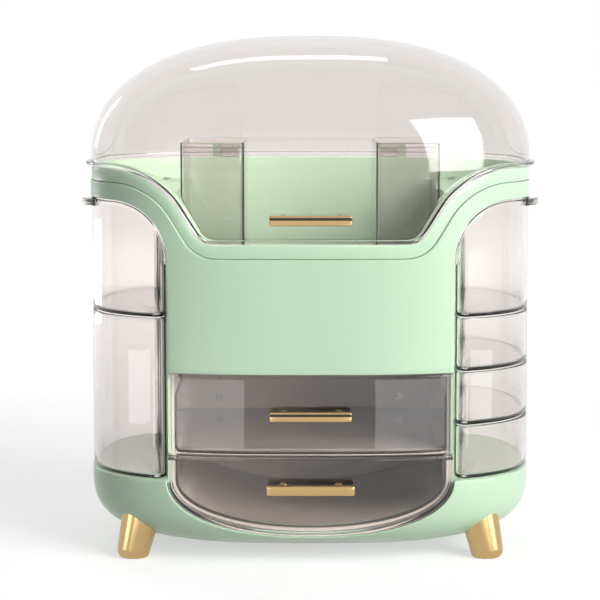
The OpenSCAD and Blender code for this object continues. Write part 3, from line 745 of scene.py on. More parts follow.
def build_body_shell():
    """Panel, band with two arches, and back panel, with the column's side walls.

    A side wall steps back behind the arch, where the panel's edge curves away from it."""
    form = shape()
    lower, upper = body_edges()
    flat, depth = ruled_wall(lower, upper, wall_section(form.wall, radius=0.7 * MM, rows=18))
    half = on_plan(flat[..., 0], flat[..., 1], depth[:, None])
    skins = [closed_skin(whole_ring(half), wrap_rows=True)]
    inner = form.wall * 0.6
    band_z = SEAM_Z - form.band
    step_z = band_z - 11.7 * MM
    y_band = -plan_y(form.column, inner)
    y_step = y_band + 6 * MM
    y_drawer = -plan_y(form.column, form.front_wall) + 1 * MM
    y_back = plan_y(form.column, inner)
    y_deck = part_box("drawer_cabinet")[0][1]
    split_z = BASE_TOP + form.split
    slant = 2 * MM
    corners = [(y_deck, BASE_TOP), (y_back, BASE_TOP), (y_back, band_z), (y_step, band_z),
               (y_step, step_z), (y_band, step_z - slant), (y_band, PANEL_Z),
               (y_drawer, PANEL_Z - slant), (y_drawer, split_z), (y_deck, split_z - slant)]
    outline = rounded_path(corners, [0.5 * MM] * len(corners), step=6 * MM)
    for s in (-1, 1):
        skins.append(plate(outline, 0, form.wall, 0.4 * MM,
                           lambda y, z, level: np.stack([s * (form.column - level), y, z], -1)))
    add_piece("body_shell_moulding", skins, "green_shell", "body", ["body_shell"])


def bowl_at(angle, rise_angle, depth):
    """Point of the base bowl: plan at an angle, shrunk and sunk by the Lame profile."""
    radius = lame(rise_angle, shape().bowl_power)
    x, y = plan_at(angle, depth, radius * np.cos(rise_angle))
    return np.stack([x, y, BASE_TOP - (BASE_TOP - BOWL_LOW - depth) * radius * np.sin(rise_angle)], -1)


def bowl_angles(x, z, depth):
    """Plan angle and rise angle of the bowl's front surface over (x, z)."""
    point = bow(x, z, depth)
    sunk = np.clip((BASE_TOP - z) / (BASE_TOP - BOWL_LOW - depth), 0, 1)
    scale = (1 - sunk ** shape().bowl_power) ** (1 / shape().bowl_power)
    angle = np.arctan2(point[..., 1] / (HALF_D - depth), point[..., 0] / (HALF_W - depth))
    return angle, np.arctan2(sunk, scale)


def smile(inset=0.0, count=90):
    """Right half of the lower drawer's curved edge, from its lowest point up to the bowl's
    rim: half a Lame curve, drawn in by an inset, with its outward normals."""
    form = shape()
    angle = np.linspace(-math.pi / 2, 0, count)
    radius = lame(angle, form.smile_power)
    points = np.column_stack([(form.column - inset) * radius * np.cos(angle),
                              BASE_TOP + (form.smile_drop - inset) * radius * np.sin(angle)])
    along = np.gradient(points, axis=0)
    along[0], along[-1] = (1, 0), (0, 1)
    along /= np.linalg.norm(along, axis=1)[:, None]
    return points, np.stack([along[:, 1], -along[:, 0]], -1)


def bowl_edge(step_in, depth):
    """Angles of the bowl's edge at a distance into the surface and a depth into the wall.

    The edge runs up the smile, turns by a small arc onto the rim and goes round to the back. In
    front of flank_x its points lie by x, and behind it evenly along the plan."""
    power = shape().bowl_power
    r, drawer_gap, flank_x, even_step = 1.4 * MM, 0.6 * MM, 132 * MM, 2.5 * MM
    points, normal = smile(-drawer_gap)
    keep = points[:, 1] < BASE_TOP - r
    corner = points[keep][-1, 0] + r
    angle = np.radians(np.linspace(180, 90, 8))
    arc = np.column_stack([corner + r * np.cos(angle), BASE_TOP - r + r * np.sin(angle)])
    arc_normal = -np.column_stack([np.cos(angle), np.sin(angle)])
    rim_x = np.linspace(corner, flank_x, 22)[1:]
    rim = np.column_stack([rim_x, BASE_TOP + 0 * rim_x])
    rim_normal = np.column_stack([0 * rim_x, -np.ones_like(rim_x)])
    path = np.concatenate([points[keep], arc, rim])
    into = np.concatenate([normal[keep], arc_normal, rim_normal])
    spot = path + into * step_in
    blend = np.clip((path[:, 0] - corner) / (flank_x - corner), 0, 1)
    blend = blend * blend * (3 - 2 * blend)
    front, front_rise = bowl_angles(spot[:, 0] * (1 - blend * depth / HALF_W), spot[:, 1], depth)
    start, half = float(arc_of_x(flank_x)), plan_length() / 2
    rest = angle_of_arc(np.linspace(start, half, int((half - start) / even_step))[1:])
    rest[-1] = math.pi / 2
    sunk = step_in / (BASE_TOP - BOWL_LOW - depth)
    rest_rise = np.full_like(rest, math.atan2(sunk, (1 - sunk ** power) ** (1 / power)))
    return np.concatenate([front, rest]), np.concatenate([front_rise, rest_rise])


def build_base_bowl():
    """Bowl with the lower drawer's opening: from the outer pole up to the edge, round it, and
    down the inside. Its rows crowd a little towards the pole."""
    wall = shape().wall + 0.5 * MM
    edge_r = 0.8 * MM
    share = 1 - np.linspace(0, 1, 34)[:-1] ** 1.25
    rows = []
    for depth, order in ((0.0, 1), (wall, -1)):
        angle, rise = bowl_edge(edge_r, depth)
        face = [bowl_at(angle, rise + (math.pi / 2 - rise) * part, depth) for part in share]
        side = [bowl_at(*bowl_edge(step, abs(depth - sunk)), abs(depth - sunk))
                for step, sunk in quarter_round(edge_r, 5)]
        rows += (face + side)[::order]
    add_piece("base_bowl_moulding", [closed_skin(whole_ring(rows))], "green_shell", "body", ["base_bowl"])


def half_angles(step=2.4 * MM, extra=()):
    """Plan angles of the right half from front to back, even along the plan, with extra ones."""
    half = plan_length() / 2
    angle = angle_of_arc(np.linspace(0, half, int(half / step)))
    angle[0], angle[-1] = -math.pi / 2, math.pi / 2
    return np.unique(np.concatenate([angle, extra]))


def dome_at(angle, rise_angle, depth):
    """Point of the lid's dome: plan at an angle, shrunk and raised by the Lame profile."""
    radius = lame(rise_angle, shape().dome_power)
    x, y = plan_at(angle, depth, radius * np.cos(rise_angle))
    return np.stack([x, y, SEAM_Z + (LID_TOP - SEAM_Z - depth) * radius * np.sin(rise_angle) + 0 * x], -1)


def lid_wall_at(angle, z, depth):
    """Point of the lid at a height: upright below the rim, on the dome's curve above it."""
    power = shape().dome_power
    raised = np.clip((z - SEAM_Z) / (LID_TOP - SEAM_Z - depth), 0, 1)
    x, y = plan_at(angle, depth, (1 - raised ** power) ** (1 / power))
    return np.stack([x, y, z + 0 * x], -1)


def flange_profile(reach, thick, wall):
    """Section of the flange as (depth, height over its foot): fillet under the dome's wall,
    rounded lip, flat foot and a small round into the inside."""
    r_in, r_lip, r_foot = 1.1 * MM, 0.9 * MM, 0.5 * MM
    parts = [
        turn((-r_in, thick + r_in), r_in, 0, -90),
        [(-r_in, thick)],
        turn((-reach + r_lip, thick - r_lip), r_lip, 90, 180),
        turn((-reach + r_lip, r_lip), r_lip, 180, 270),
        [(-reach + r_lip, 0)],
        turn((wall - r_foot, r_foot), r_foot, -90, 0),
        [(wall, r_foot)],
    ]
    return np.concatenate(parts)


def build_lid():
    """Clear dome from the outer pole down to the flange, which follows the dipped edge, and
    back up the inside."""
    form = shape()
    angle = half_angles()
    gap = 0.4 * MM
    meet = SEAM_Z + 7 * MM
    wall = form.lid_wall
    profile = flange_profile(form.flange, form.flange, wall)
    rows = []
    for depth, top, order in ((0.0, profile[0, 1], 1), (wall, profile[-1, 1], -1)):
        raised = (meet - SEAM_Z) / (LID_TOP - SEAM_Z - depth)
        first = math.atan2(raised, (1 - raised ** form.dome_power) ** (1 / form.dome_power))
        part = [dome_at(angle, rise, depth) for rise in between(math.pi / 2, first, np.linspace(0, 1, 44))]
        foot = edge_z(angle, -gap - top)
        part += [lid_wall_at(angle, z, depth) for z in between(meet, foot, np.linspace(0, 1, 12)[1:-1])]
        if order > 0:
            rows += part + [lid_wall_at(angle, edge_z(angle, -gap - lift), sunk) for sunk, lift in profile]
        else:
            rows += part[::-1]
    add_piece("lid_dome_moulding", [closed_skin(whole_ring(rows))], "clear_plastic", "lid", ["lid_dome"],
              sharp=50)


def well_ring(angle, half_width, inset):
    """Outline of the well: the plan cut by two side walls, with softly rounded corners.

    Along each ray the distance is (plan^-m + side^-m)^(-1/m) with a high power m."""
    x, y = plan_at(angle, inset)
    reach = np.hypot(x, y)
    to_side = half_width * reach / np.maximum(np.abs(x), 1e-9)
    power = 36
    soft = (1 + (reach / to_side) ** power) ** (-1 / power)
    return np.stack([x * soft, y * soft], -1)


def build_tub():
    """Tub with its collar: from the pole under the well up its outside, under the wings, up the
    skirt, over the collar's rim, and down the inside to the well's floor."""
    form = shape()
    wall, collar_in = form.wall, 0.8 * MM
    skirt_in = wall + collar_in
    inner_in = skirt_in + wall
    well_half = form.column - wall - 0.2 * MM
    wing_z = SEAM_Z - form.band + 2 * MM
    foot_r, floor_r, soft_r, lip_r, bead = 3 * MM, 4 * MM, 0.5 * MM, 0.9 * MM, 1 * MM
    corner_x = well_half / (HALF_W - skirt_in) * HALF_W
    corners = [angle_at(corner_x, side * plan_y(corner_x)) + shift
               for side in (-1, 1) for shift in np.linspace(-0.05, 0.05, 15)]
    angle = half_angles(extra=corners)
    rim, under = edge_z(angle), edge_z(angle, form.collar)
    outer, inner = well_ring(angle, well_half, skirt_in), well_ring(angle, well_half - wall, inner_in)
    skirt, inside = np.stack(plan_at(angle, skirt_in), -1), np.stack(plan_at(angle, inner_in), -1)
    low_wing = np.minimum(wing_z, under - 1.5 * MM)
    top_wing = np.minimum(wing_z + wall, rim - 2 * MM)
    floor = WELL_Z + wall

    def ring(flat, z):
        return np.column_stack([flat, z + np.zeros(len(flat))])

    def edge_ring(depth, drop):
        return ring(np.stack(plan_at(angle, depth), -1), edge_z(angle, drop))

    def drawn_in(flat, step):
        return flat * (1 - step / np.linalg.norm(flat, axis=1))[:, None]

    rows = [ring(outer * v, WELL_Z) for v in (0, 0.5, 0.9)]
    rows += [ring(drawn_in(outer, step), WELL_Z + lift) for step, lift in quarter_round(foot_r)]
    rows += [ring(outer, z) for z in between(WELL_Z + foot_r, low_wing, np.linspace(0, 1, 8)[1:])]
    rows += [ring(flat, low_wing) for flat in between(outer, skirt, (0.5, 1))]
    rows += [ring(skirt, z) for z in between(low_wing, under, (0.5, 1))]
    rows += [edge_ring(collar_in + step, form.collar - lift) for step, lift in quarter_round(soft_r)]
    rows += [edge_ring(collar_in + step, drop) for drop, step in quarter_round(lip_r)]
    rows += [edge_ring(inner_in - step, drop) for step, drop in quarter_round(lip_r)]
    rows += [ring(inside, z) for z in between(rim - lip_r, top_wing + bead, (0.35, 0.7, 1))]
    rows += [ring(inside + (inner - inside) * v, top_wing + bead * (1 - v) ** 4)
             for v in (0.06, 0.3, 0.7, 0.98)]
    wall_z = between(top_wing - soft_r, floor + floor_r - soft_r, np.linspace(0, 1, 8))
    rows += [ring(inner, z) for z in wall_z]
    rows += [ring(drawn_in(inner, step), floor + lift) for lift, step in quarter_round(floor_r)]
    rows += [ring(inner * v, floor) for v in (0.9, 0.5, 0)]
    add_piece("inner_tub_moulding", [closed_skin(whole_ring(rows))], "green_shell", "body", ["inner_tub"])


def mirrored_path(half):
    """An open path from its right half, which starts on the middle plane."""
    return np.concatenate([half[:0:-1] * np.array([-1, 1]), half])


def smile_path(inset, top, step=2 * MM):
    """Closed anticlockwise outline of the smile with upright sides and a level top."""
    points = mirrored_path(smile(inset)[0])
    half_width = points[-1, 0]
    r = 2 * MM
    side = line(points[-1], (half_width, top - r), step)[1:]
    corner = turn((half_width - r, top - r), r, 0, 90)
    across = line((half_width - r, top), (0, top), step)
    right = np.concatenate([points[len(points) // 2:], side, corner, across])
    left = right[1:] * np.array([-1, 1])
    return np.concatenate([right, [[0, top]], left[::-1]])


def build_upper_front():
    """Clear bowed plate over a rounded rectangle, with rounded edges."""
    form = shape()
    low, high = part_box("upper_drawer_front")
    width = form.column - 0.2 * MM
    corner_r = 3 * MM
    edge_r = 0.8 * MM
    corners = [(-width, low[2]), (width, low[2]), (width, high[2]), (-width, high[2])]
    outline = rounded_path(corners, [corner_r] * 4)
    middle = (low[2] + high[2]) / 2
    half = (high[2] - low[2]) / 2
    core = np.column_stack([np.clip(outline[:, 0], half - width, width - half), 0 * outline[:, 0] + middle])
    rows = dished(outline, core, form.front_wall, edge_r)
    add_piece("upper_drawer_window", [closed_skin(rows)], "clear_plastic", "upper_drawer",
              ["upper_drawer_front"], sharp=50)


def dished(outline, core, thick, radius):
    """Rows of a bowed plate: from the core out over the front, round the edge, and back to the
    core behind. Each row is the outline drawn in, laid on the bow at a depth."""
    normal = outward(outline)
    start = outline - normal * radius
    rows = []
    for depth, order in ((0.0, 1), (thick, -1)):
        face = [bow(*flat.T, depth) for flat in between(core, start, np.linspace(0, 1, 14))]
        side = [bow(*(outline - normal * step).T, abs(depth - sunk))
                for step, sunk in quarter_round(radius, 5)[1:]]
        rows += (face + side)[::order]
    return rows


def build_lower_front():
    """Clear front of the lower drawer: bowed face, rim that runs back inside the smile, and a
    flange at the back for the box. Along its straight top it is a plain plate."""
    y_back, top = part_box("lower_drawer_front")[1][1:]
    thick = shape().front_wall
    edge_r, bezel, flange, lip, ease = 0.9 * MM, 2.7 * MM, 6.7 * MM, 2 * MM, 4 * MM
    outline = smile_path(0.2 * MM, top)
    normal = outward(outline)
    core = np.column_stack([outline[:, 0] * 0.6, 0 * outline[:, 0] + BASE_TOP])
    share = np.clip((top - outline[:, 1]) / ease, 0, 1)

    def drawn_in(step):
        return outline - normal * (step * share)[:, None]

    def at_y(step, y):
        flat = drawn_in(step)
        return np.column_stack([flat[:, 0], y, flat[:, 1]])

    def face_y(step, depth):
        return bow(*drawn_in(step).T, depth)[:, 1]

    def back_to(y, step):
        near = face_y(step, thick)
        return near + (y - near) * share

    start = outline - normal * edge_r
    rows = [bow(*flat.T, 0) for flat in between(core, start, np.linspace(0, 1, 16))]
    rows += [bow(*(outline - normal * step).T, sunk) for step, sunk in quarter_round(edge_r, 5)[1:]]
    edge_y = bow(*outline.T, edge_r)[:, 1]
    rows += [at_y(0, y) for y in between(edge_y, back_to(y_back, 0), np.linspace(0, 1, 6)[1:])]
    rows += [at_y(step, back_to(y_back, step)) for step in between(0, flange, (0.1, 0.5, 0.95))]
    rows += [at_y(flange, back_to(y, flange)) for y in between(y_back, y_back - lip, (0.1, 0.9))]
    rows += [at_y(step, back_to(y_back - lip, step)) for step in between(flange, bezel, (0.05, 0.5, 0.9))]
    inner_y, floor_y = back_to(y_back - lip, bezel), face_y(bezel, thick)
    rows += [at_y(bezel, y) for y in between(inner_y, floor_y, (0.15, 0.5, 0.85))]
    rows += [bow(*flat.T, thick) for flat in between(core, drawn_in(bezel), np.linspace(1, 0, 16))]
    add_piece("lower_drawer_window", [closed_skin(rows)], "clear_plastic", "lower_drawer",
              ["lower_drawer_front"], sharp=50)


def trough(path, wall, y_front, y_back):
    """A channel with a back plate. Its section is a path with a wall, closed over both rims,
    and it runs from the bow of the front at a depth, or a level, to the back."""
    along = np.gradient(path, axis=0)
    along /= np.linalg.norm(along, axis=1)[:, None]
    normal = np.stack([along[:, 1], -along[:, 0]], -1)
    rim_r, seat_gap = 0.3 * MM, 0.02 * MM
    middle = path - normal * wall / 2
    first_rim, last_rim = [middle[0] - along[0] * rim_r], [middle[-1] + along[-1] * rim_r]
    loop = np.concatenate([path, last_rim, (path - normal * wall)[::-1], first_rim])
    core = np.concatenate([middle, [middle[-1]], middle[::-1], [middle[0]]])
    front = y_front(loop)
    rows = [np.column_stack([core[:, 0], front + 0 * core[:, 0], core[:, 1]])]
    rows += [np.column_stack([loop[:, 0], y, loop[:, 1]])
             for y in between(front, y_back, np.linspace(0, 1, 12))]
    rows.append(np.column_stack([core[:, 0], y_back + 0 * core[:, 0], core[:, 1]]))
    inner = path - normal * wall * 0.6
    across = line(inner[-1], inner[0], 4 * MM)[1:]
    end = plate(np.concatenate([inner, across]), 0, wall, 0.3 * MM,
                lambda x, z, level: np.stack([x, y_back - seat_gap - level, z], -1))
    return [closed_skin(rows), end]


def build_drawer_boxes():
    """Clear boxes behind the two drawer fronts."""
    form = shape()
    wall, corner_r = form.box_wall, 4 * MM
    low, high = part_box("upper_drawer_box")
    width = high[0]
    half = np.concatenate([line((0, low[2]), (width - corner_r, low[2])),
                           turn((width - corner_r, low[2] + corner_r), corner_r, -90, 0),
                           line((width, low[2] + corner_r), (width, high[2])),
                           [[width, high[2]]]])
    behind = form.front_wall + 0.2 * MM
    skins = trough(mirrored_path(half), wall, lambda p: bow(p[:, 0], p[:, 1], behind)[:, 1], high[1])
    add_piece("upper_drawer_tray", skins, "clear_plastic", "upper_drawer", ["upper_drawer_box"], sharp=50)
    low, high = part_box("lower_drawer_box")
    half = smile(form.column - high[0])[0]
    side = line(half[-1], (high[0], high[2]))[1:]
    half = np.concatenate([half, side, [[high[0], high[2]]]])
    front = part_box("lower_drawer_front")[1][1] + 0.1 * MM
    skins = trough(mirrored_path(half), wall, lambda p: np.full(len(p), front), high[1])
    add_piece("lower_drawer_tray", skins, "clear_plastic", "lower_drawer", ["lower_drawer_box"], sharp=50)


def cup(outline, low, top, wall, bottom_r, rim_r, inner_r):
    """Open vessel over an outline: from the pole under its floor out to the rounded foot, up
    the wall, over the rounded rim, down the inside and over the floor to the inner pole. Its
    floor is as thick as its wall."""
    normal = outward(outline)
    middle = outline.mean(0)
    top = top + 0 * outline[:, 0]
    floor = low + wall
    up_wall = (0.03, 0.5, 0.97, 1)

    def pole(z):
        return np.column_stack([middle + 0 * outline, z + 0 * top])

    def ring(step_in, z):
        return np.column_stack([outline - normal * step_in, z + 0 * top])

    rows = [pole(low)]
    rows += [ring(step, low + lift) for step, lift in quarter_round(bottom_r)]
    rows += [ring(0, z) for z in between(low + bottom_r, top - rim_r, up_wall)]
    rows += [ring(step, top - drop) for drop, step in quarter_round(rim_r)[1:]]
    rows += [ring(wall - step, top - drop) for step, drop in quarter_round(rim_r)]
    rows += [ring(wall, z) for z in between(top - rim_r, floor + inner_r, up_wall)]
    rows += [ring(wall + step, floor + lift) for lift, step in quarter_round(inner_r)[1:]]
    rows.append(pole(floor))
    return closed_skin(rows)


def tube(x, y, low, high, radius, bore):
    """Upright sleeve: up the outside, over the top, down the bore and under the foot."""
    angle = np.linspace(0, 2 * math.pi, 48, endpoint=False)
    edge = 0.3 * MM
    profile = [(radius, low + edge), (radius, high - edge), (radius - edge, high), (bore + edge, high),
               (bore, high - edge), (bore, low + edge), (bore + edge, low), (radius - edge, low)]
    rows = [np.column_stack([x + r * np.cos(angle), y + r * np.sin(angle), z + 0 * angle])
            for r, z in profile]
    return closed_skin(rows, wrap_rows=True)


def tray_outline():
    """Plan of a right tray and its pivot: along the outer plan, round the pivot's corner, along
    the column and round the front corner."""
    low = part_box("right_tray_1")[0]
    gap, r, arc_step = 0.6 * MM, 8 * MM, 1.2 * MM
    pivot_x = low[0] + r
    pivot_y = float(plan_y(pivot_x, gap)) - r
    first = float(angle_at(pivot_x, -plan_y(pivot_x, gap)))
    start, end = np.interp([first, -first], *plan_table())
    outer = angle_of_arc(np.linspace(start, end, 130))
    side = np.stack(plan_at(outer, gap), -1)
    back = turn((pivot_x, pivot_y), r, 90, 180, arc_step)[1:]
    inner = line((pivot_x - r, pivot_y), (pivot_x - r, -pivot_y), 3 * MM)
    front = turn((pivot_x, -pivot_y), r, 180, 270, arc_step)
    return np.concatenate([side, back, inner, front]), (pivot_x, pivot_y)


def tray_rim(outline, top):
    """Height of a top tray's rim: level outside, under the arch in front, low along the column."""
    form = shape()
    side, r = form.column + form.arch, form.arch - 1 * MM
    arch_z = SEAM_Z - form.band - form.arch
    low = arch_z - 4 * MM
    arch_y, front_y, back_y = -55 * MM, -81 * MM, 72 * MM
    x, y = outline.T
    arch = arch_z + np.sqrt(np.maximum(r ** 2 - np.clip(side - x, 0, r) ** 2, 0))
    rim = np.where(y < arch_y, np.minimum(arch, top), top)
    ease = np.clip((x - outline[:, 0].min() - 0.4 * MM) / (5 * MM), 0, 1)
    return np.where((y > front_y) & (y <= back_y), low + (rim - low) * ease, rim)


def finger_tab(top):
    """Lip that stands out from a top tray's rim, a slice of a disc."""
    radius, reach, sunk = 24 * MM, shape().tab_reach, 6.5 * MM
    centre = (HALF_W - radius + reach, -0.28 * HALF_D)
    spread = math.degrees(math.acos((HALF_W - sunk - centre[0]) / radius))
    arc = turn(centre, radius, -spread, spread, 0.8 * MM)
    return plate(arc, top - 4.5 * MM, top, 1 * MM, lambda x, y, level: np.stack([x, y, level], -1))


def build_trays():
    """Clear swing trays of both pods, each with its pivot's sleeve. A left tray is a right one
    mirrored, with its faces turned back."""
    outline, (pivot_x, pivot_y) = tray_outline()
    wall, sleeve_r, bore_r = shape().tray_wall, 5.6 * MM, 2.6 * MM
    trays = [f"left_tray_{i}" for i in (1, 2)] + [f"right_tray_{i}" for i in (1, 2, 3, 4)]
    for name in trays:
        low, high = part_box(name)[0][2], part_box(name)[1][2]
        is_top = high > TRAY_TOP - 1 * MM
        rim = tray_rim(outline, high) if is_top else high
        skins = [cup(outline, low, rim, wall, bottom_r=2.4 * MM, rim_r=0.8 * MM, inner_r=1.6 * MM),
                 tube(pivot_x, pivot_y, low + wall, high - 0.3 * MM, sleeve_r, bore_r)]
        if is_top:
            skins.append(finger_tab(high))
        if name.startswith("left"):
            skins = [(points * np.array([-1, 1, 1]), faces[:, ::-1]) for points, faces in skins]
        add_piece(name + "_moulding", skins, "clear_plastic", name, [name], sharp=50)


def build_bins():
    """Two clear bins that stand in the tub."""
    for name in ("bin_left", "bin_right"):
        low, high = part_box(name)
        corners = [(low[0], low[1]), (high[0], low[1]), (high[0], high[1]), (low[0], high[1])]
        outline = rounded_path(corners, [4 * MM] * 4, step=6 * MM)
        skin = cup(outline, low[2], high[2], shape().bin_wall, bottom_r=2 * MM, rim_r=0.7 * MM,
                   inner_r=2 * MM)
        add_piece(name + "_moulding", [skin], "clear_plastic", name, [name], sharp=50)


def revolved(profile, foot, axis, columns=64):
    """A profile of (radius, height) turned round an axis through a foot point. Its ends lie on
    the axis, so it closes there."""
    axis = np.asarray(axis, float) / np.linalg.norm(axis)
    across = np.cross(axis, (0, 1, 0) if abs(axis[1]) < 0.9 else (1, 0, 0))
    across /= np.linalg.norm(across)
    other = np.cross(axis, across)
    angle = np.linspace(0, 2 * math.pi, columns, endpoint=False)
    ring = np.cos(angle)[:, None] * across + np.sin(angle)[:, None] * other
    profile = np.asarray(profile, float)
    return foot + profile[:, 0, None, None] * ring + profile[:, 1, None, None] * axis


def bar(width, y_front, y_back, low, high, radius):
    """Bar with rounded edges and ends: a rounded section carried along x, drawn in at both
    ends by the same radius."""
    section = rounded_path([(y_front, low), (y_back, low), (y_back, high), (y_front, high)],
                           [radius] * 4, step=1 * MM, arc_points=6)
    normal = outward(section)
    middle = section.mean(0)
    half = width / 2
    ends = [(section - normal * step, half - sunk) for step, sunk in quarter_round(radius)]
    rows = [(middle + 0 * section, -half)]
    rows += [(flat, -x) for flat, x in ends]
    rows += [(section, x) for x in np.linspace(radius - half, half - radius, 8)[1:-1]]
    rows += reversed(ends)
    rows += [(middle + 0 * section, half)]
    return closed_skin([np.column_stack([x + 0 * flat[:, 0], flat]) for flat, x in rows])


def build_pulls():
    """Gold bars on two posts. The upper two carry a near-black strip on their front, a painted dark
    reflection.
    """
    post_x = shape().post_x
    thick, edge_r, post_r, flare_r, sunk = 5 * MM, 1.3 * MM, 2.6 * MM, 3.2 * MM, 0.15 * MM
    pulls = (("lid_pull", "lid", True), ("upper_drawer_pull", "upper_drawer", True),
             ("lower_drawer_pull", "lower_drawer", False))
    for name, body, lined in pulls:
        low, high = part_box(name)
        width = high[0] - low[0]
        y_back = low[1] + thick
        middle = (low[2] + high[2]) / 2
        skins = [bar(width, low[1], y_back, low[2], high[2], edge_r)]
        for x in (-post_x, post_x):
            length = float(bow(np.array([x]), np.array([middle]))[0, 1]) - y_back
            inside_bar = -1.5 * MM
            profile = [(0, inside_bar), (post_r, inside_bar), (post_r, length - 1.2 * MM),
                       (flare_r - 0.1 * MM, length - 0.4 * MM), (flare_r, length + sunk), (0, length + sunk)]
            skins.append(closed_skin(revolved(profile, np.array([x, y_back, middle]), (0, 1, 0), 40)))
        add_piece(name + "_bar", skins, "gold_metal", body, [name])
        if lined:
            # Near-black strip a little proud of the bar's upper front: a painted dark reflection, not a real
            # inlay
            proud, strip_depth = 0.12 * MM, 1 * MM
            skin = bar(width - 0.8 * MM, low[1] - proud, low[1] + strip_depth, middle + 0.3 * MM,
                       middle + 2.2 * MM, 0.3 * MM)
            add_piece(name + "_line", [skin], "gold_metal", body, material=material_for("painted_dark_reflection"))


def build_feet():
    """Four tapered gold feet with rounded ends, splayed outwards and cut flat on the ground."""
    form = shape()
    low_r, high_r = form.foot_low_r, form.foot_high_r
    splay, rake = form.foot_splay, form.foot_rake
    length, end_r, start = 42 * MM, 7.5 * MM, -3.2 * MM
    flank = start + end_r
    turned = np.radians(np.linspace(-90, 0, 10))
    profile = [(0, start)]
    profile += [(low_r - end_r + end_r * math.cos(a), flank + end_r * math.sin(a)) for a in turned]
    profile += between(np.array([low_r, flank]), np.array([high_r, length]), np.linspace(0, 1, 10)[1:])
    profile += [(0, length)]
    for side, sx in (("left", -1), ("right", 1)):
        for place, sy in (("front", -1), ("rear", 1)):
            name = f"foot_{place}_{side}"
            foot = np.array([sx * (HALF_W - form.foot_in_x), sy * (HALF_D - form.foot_in_y), 0])
            axis = (-sx * math.sin(splay) * math.cos(rake), -sy * math.sin(rake),
                    math.cos(splay) * math.cos(rake))
            grid = revolved(profile, foot, axis)
            grid[..., 2] = np.maximum(grid[..., 2], 0)
            add_piece(name + "_turned", [closed_skin(grid)], "gold_metal", "body", [name], sharp=60)


# ---- Operators ----

def keep_nodes(*names):
    """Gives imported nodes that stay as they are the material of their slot."""
    slots = {row["node"]: row["material_slot"] for row in frame["record"]["subparts"]}
    for name in names:
        node = bpy.data.objects[name]
        node.data.materials.clear()
        node.data.materials.append(material_for(slots[name]))


class ORGANIZER_OT_studio(bpy.types.Operator):
    """White floor and world, soft lamps and the camera at the photograph's view"""
    bl_idname = "organizer.studio"
    bl_label = "Studio"

    def execute(self, context):
        studio = context.scene.organizer_studio
        floor = flat_square("floor", half=6, z=-0.2 * MM)
        floor.data.materials.append(floor_material())
        white_world()
        middle = (0, 0, 0.17)
        soft_lamp("key_lamp", (1.6, -1.5, 0.9), middle, 1.6, 1.6, studio.key)
        soft_lamp("fill_lamp", (-1.4, -1.6, 0.9), middle, 1.2, 1.2, studio.fill)
        back_lamp = soft_lamp("back_lamp", (-0.6, 1.9, 1.3), middle, 1.4, 1.4, studio.back)
        back_lamp.visible_glossy = False
        back_lamp.visible_transmission = False
        dome_top, dome_side, pod_side = (-0.02, -0.07, 0.33), (-0.14, -0.05, 0.3), (-0.14, -0.05, 0.2)
        strip_lamp("top_strip", (-0.13, 0.58, 1.6), dome_top, 0.8, 0.18, studio.sheen)
        strip_lamp("edge_strip", (-1.02, 1.06, 0.62), dome_side, 0.2, 0.62, studio.sheen)
        strip_lamp("pod_strip", (-0.98, 0.9, 0.065), pod_side, 0.5, 0.13, 0.8 * studio.sheen)
        for side in (-1, 1):
            foot = (0.1 * side, -0.08, 0.03)
            strip_lamp("front_strip", (0.24 * side, -0.5, 0.034), foot, 0.26, 0.068, 0.6 * studio.sheen)
            strip_lamp("side_strip", (0.62 * side, -0.3, 0.034), foot, 0.24, 0.068, 0.6 * studio.sheen)
        lens = bpy.data.cameras.new("camera")
        lens.lens = studio.lens
        camera = bpy.data.objects.new("camera", lens)
        camera.location = studio.eye
        camera.rotation_euler = (studio.pitch, 0, 0)
        context.scene.collection.objects.link(camera)
        context.scene.camera = camera
        context.scene.view_settings.view_transform = "Standard"
        return {"FINISHED"}


class ORGANIZER_OT_fittings(bpy.types.Operator):
    """Deck, drawer cabinet, hinges, pins and screws, kept as packed"""
    bl_idname = "organizer.fittings"
    bl_label = "Fittings"

    def execute(self, context):
        keep_nodes("base_deck", "drawer_cabinet", "hinge_pin_left", "hinge_pin_right",
                   "hinge_leaf_body_left", "hinge_leaf_body_right", "hinge_leaf_lid_left",
                   "hinge_leaf_lid_right", "pivot_pin_left", "pivot_pin_right", "foot_screws",
                   "deck_screws", "cabinet_screws", "lid_pull_screws", "upper_pull_screws",
                   "lower_pull_screws")
        return {"FINISHED"}


class ORGANIZER_OT_base_bowl(bpy.types.Operator):
    """Bowl under the body, with the lower drawer's opening"""
    bl_idname = "organizer.base_bowl"
    bl_label = "Base bowl"

    def execute(self, context):
        build_base_bowl()
        return {"FINISHED"}


class ORGANIZER_OT_body_shell(bpy.types.Operator):
    """Front panel, arched band and back panel"""
    bl_idname = "organizer.body_shell"
    bl_label = "Body shell"

    def execute(self, context):
        build_body_shell()
        return {"FINISHED"}


class ORGANIZER_OT_tub(bpy.types.Operator):
    """Tub with its collar along the dipped edge"""
    bl_idname = "organizer.tub"
    bl_label = "Tub"

    def execute(self, context):
        build_tub()
        return {"FINISHED"}


class ORGANIZER_OT_lid(bpy.types.Operator):
    """Clear domed lid with its flange"""
    bl_idname = "organizer.lid"
    bl_label = "Lid"

    def execute(self, context):
        build_lid()
        return {"FINISHED"}


class ORGANIZER_OT_upper_drawer(bpy.types.Operator):
    """Bowed clear front of the upper drawer"""
    bl_idname = "organizer.upper_drawer"
    bl_label = "Upper drawer front"

    def execute(self, context):
        build_upper_front()
        return {"FINISHED"}


class ORGANIZER_OT_drawer_boxes(bpy.types.Operator):
    """Clear boxes of both drawers"""
    bl_idname = "organizer.drawer_boxes"
    bl_label = "Drawer boxes"

    def execute(self, context):
        build_drawer_boxes()
        return {"FINISHED"}


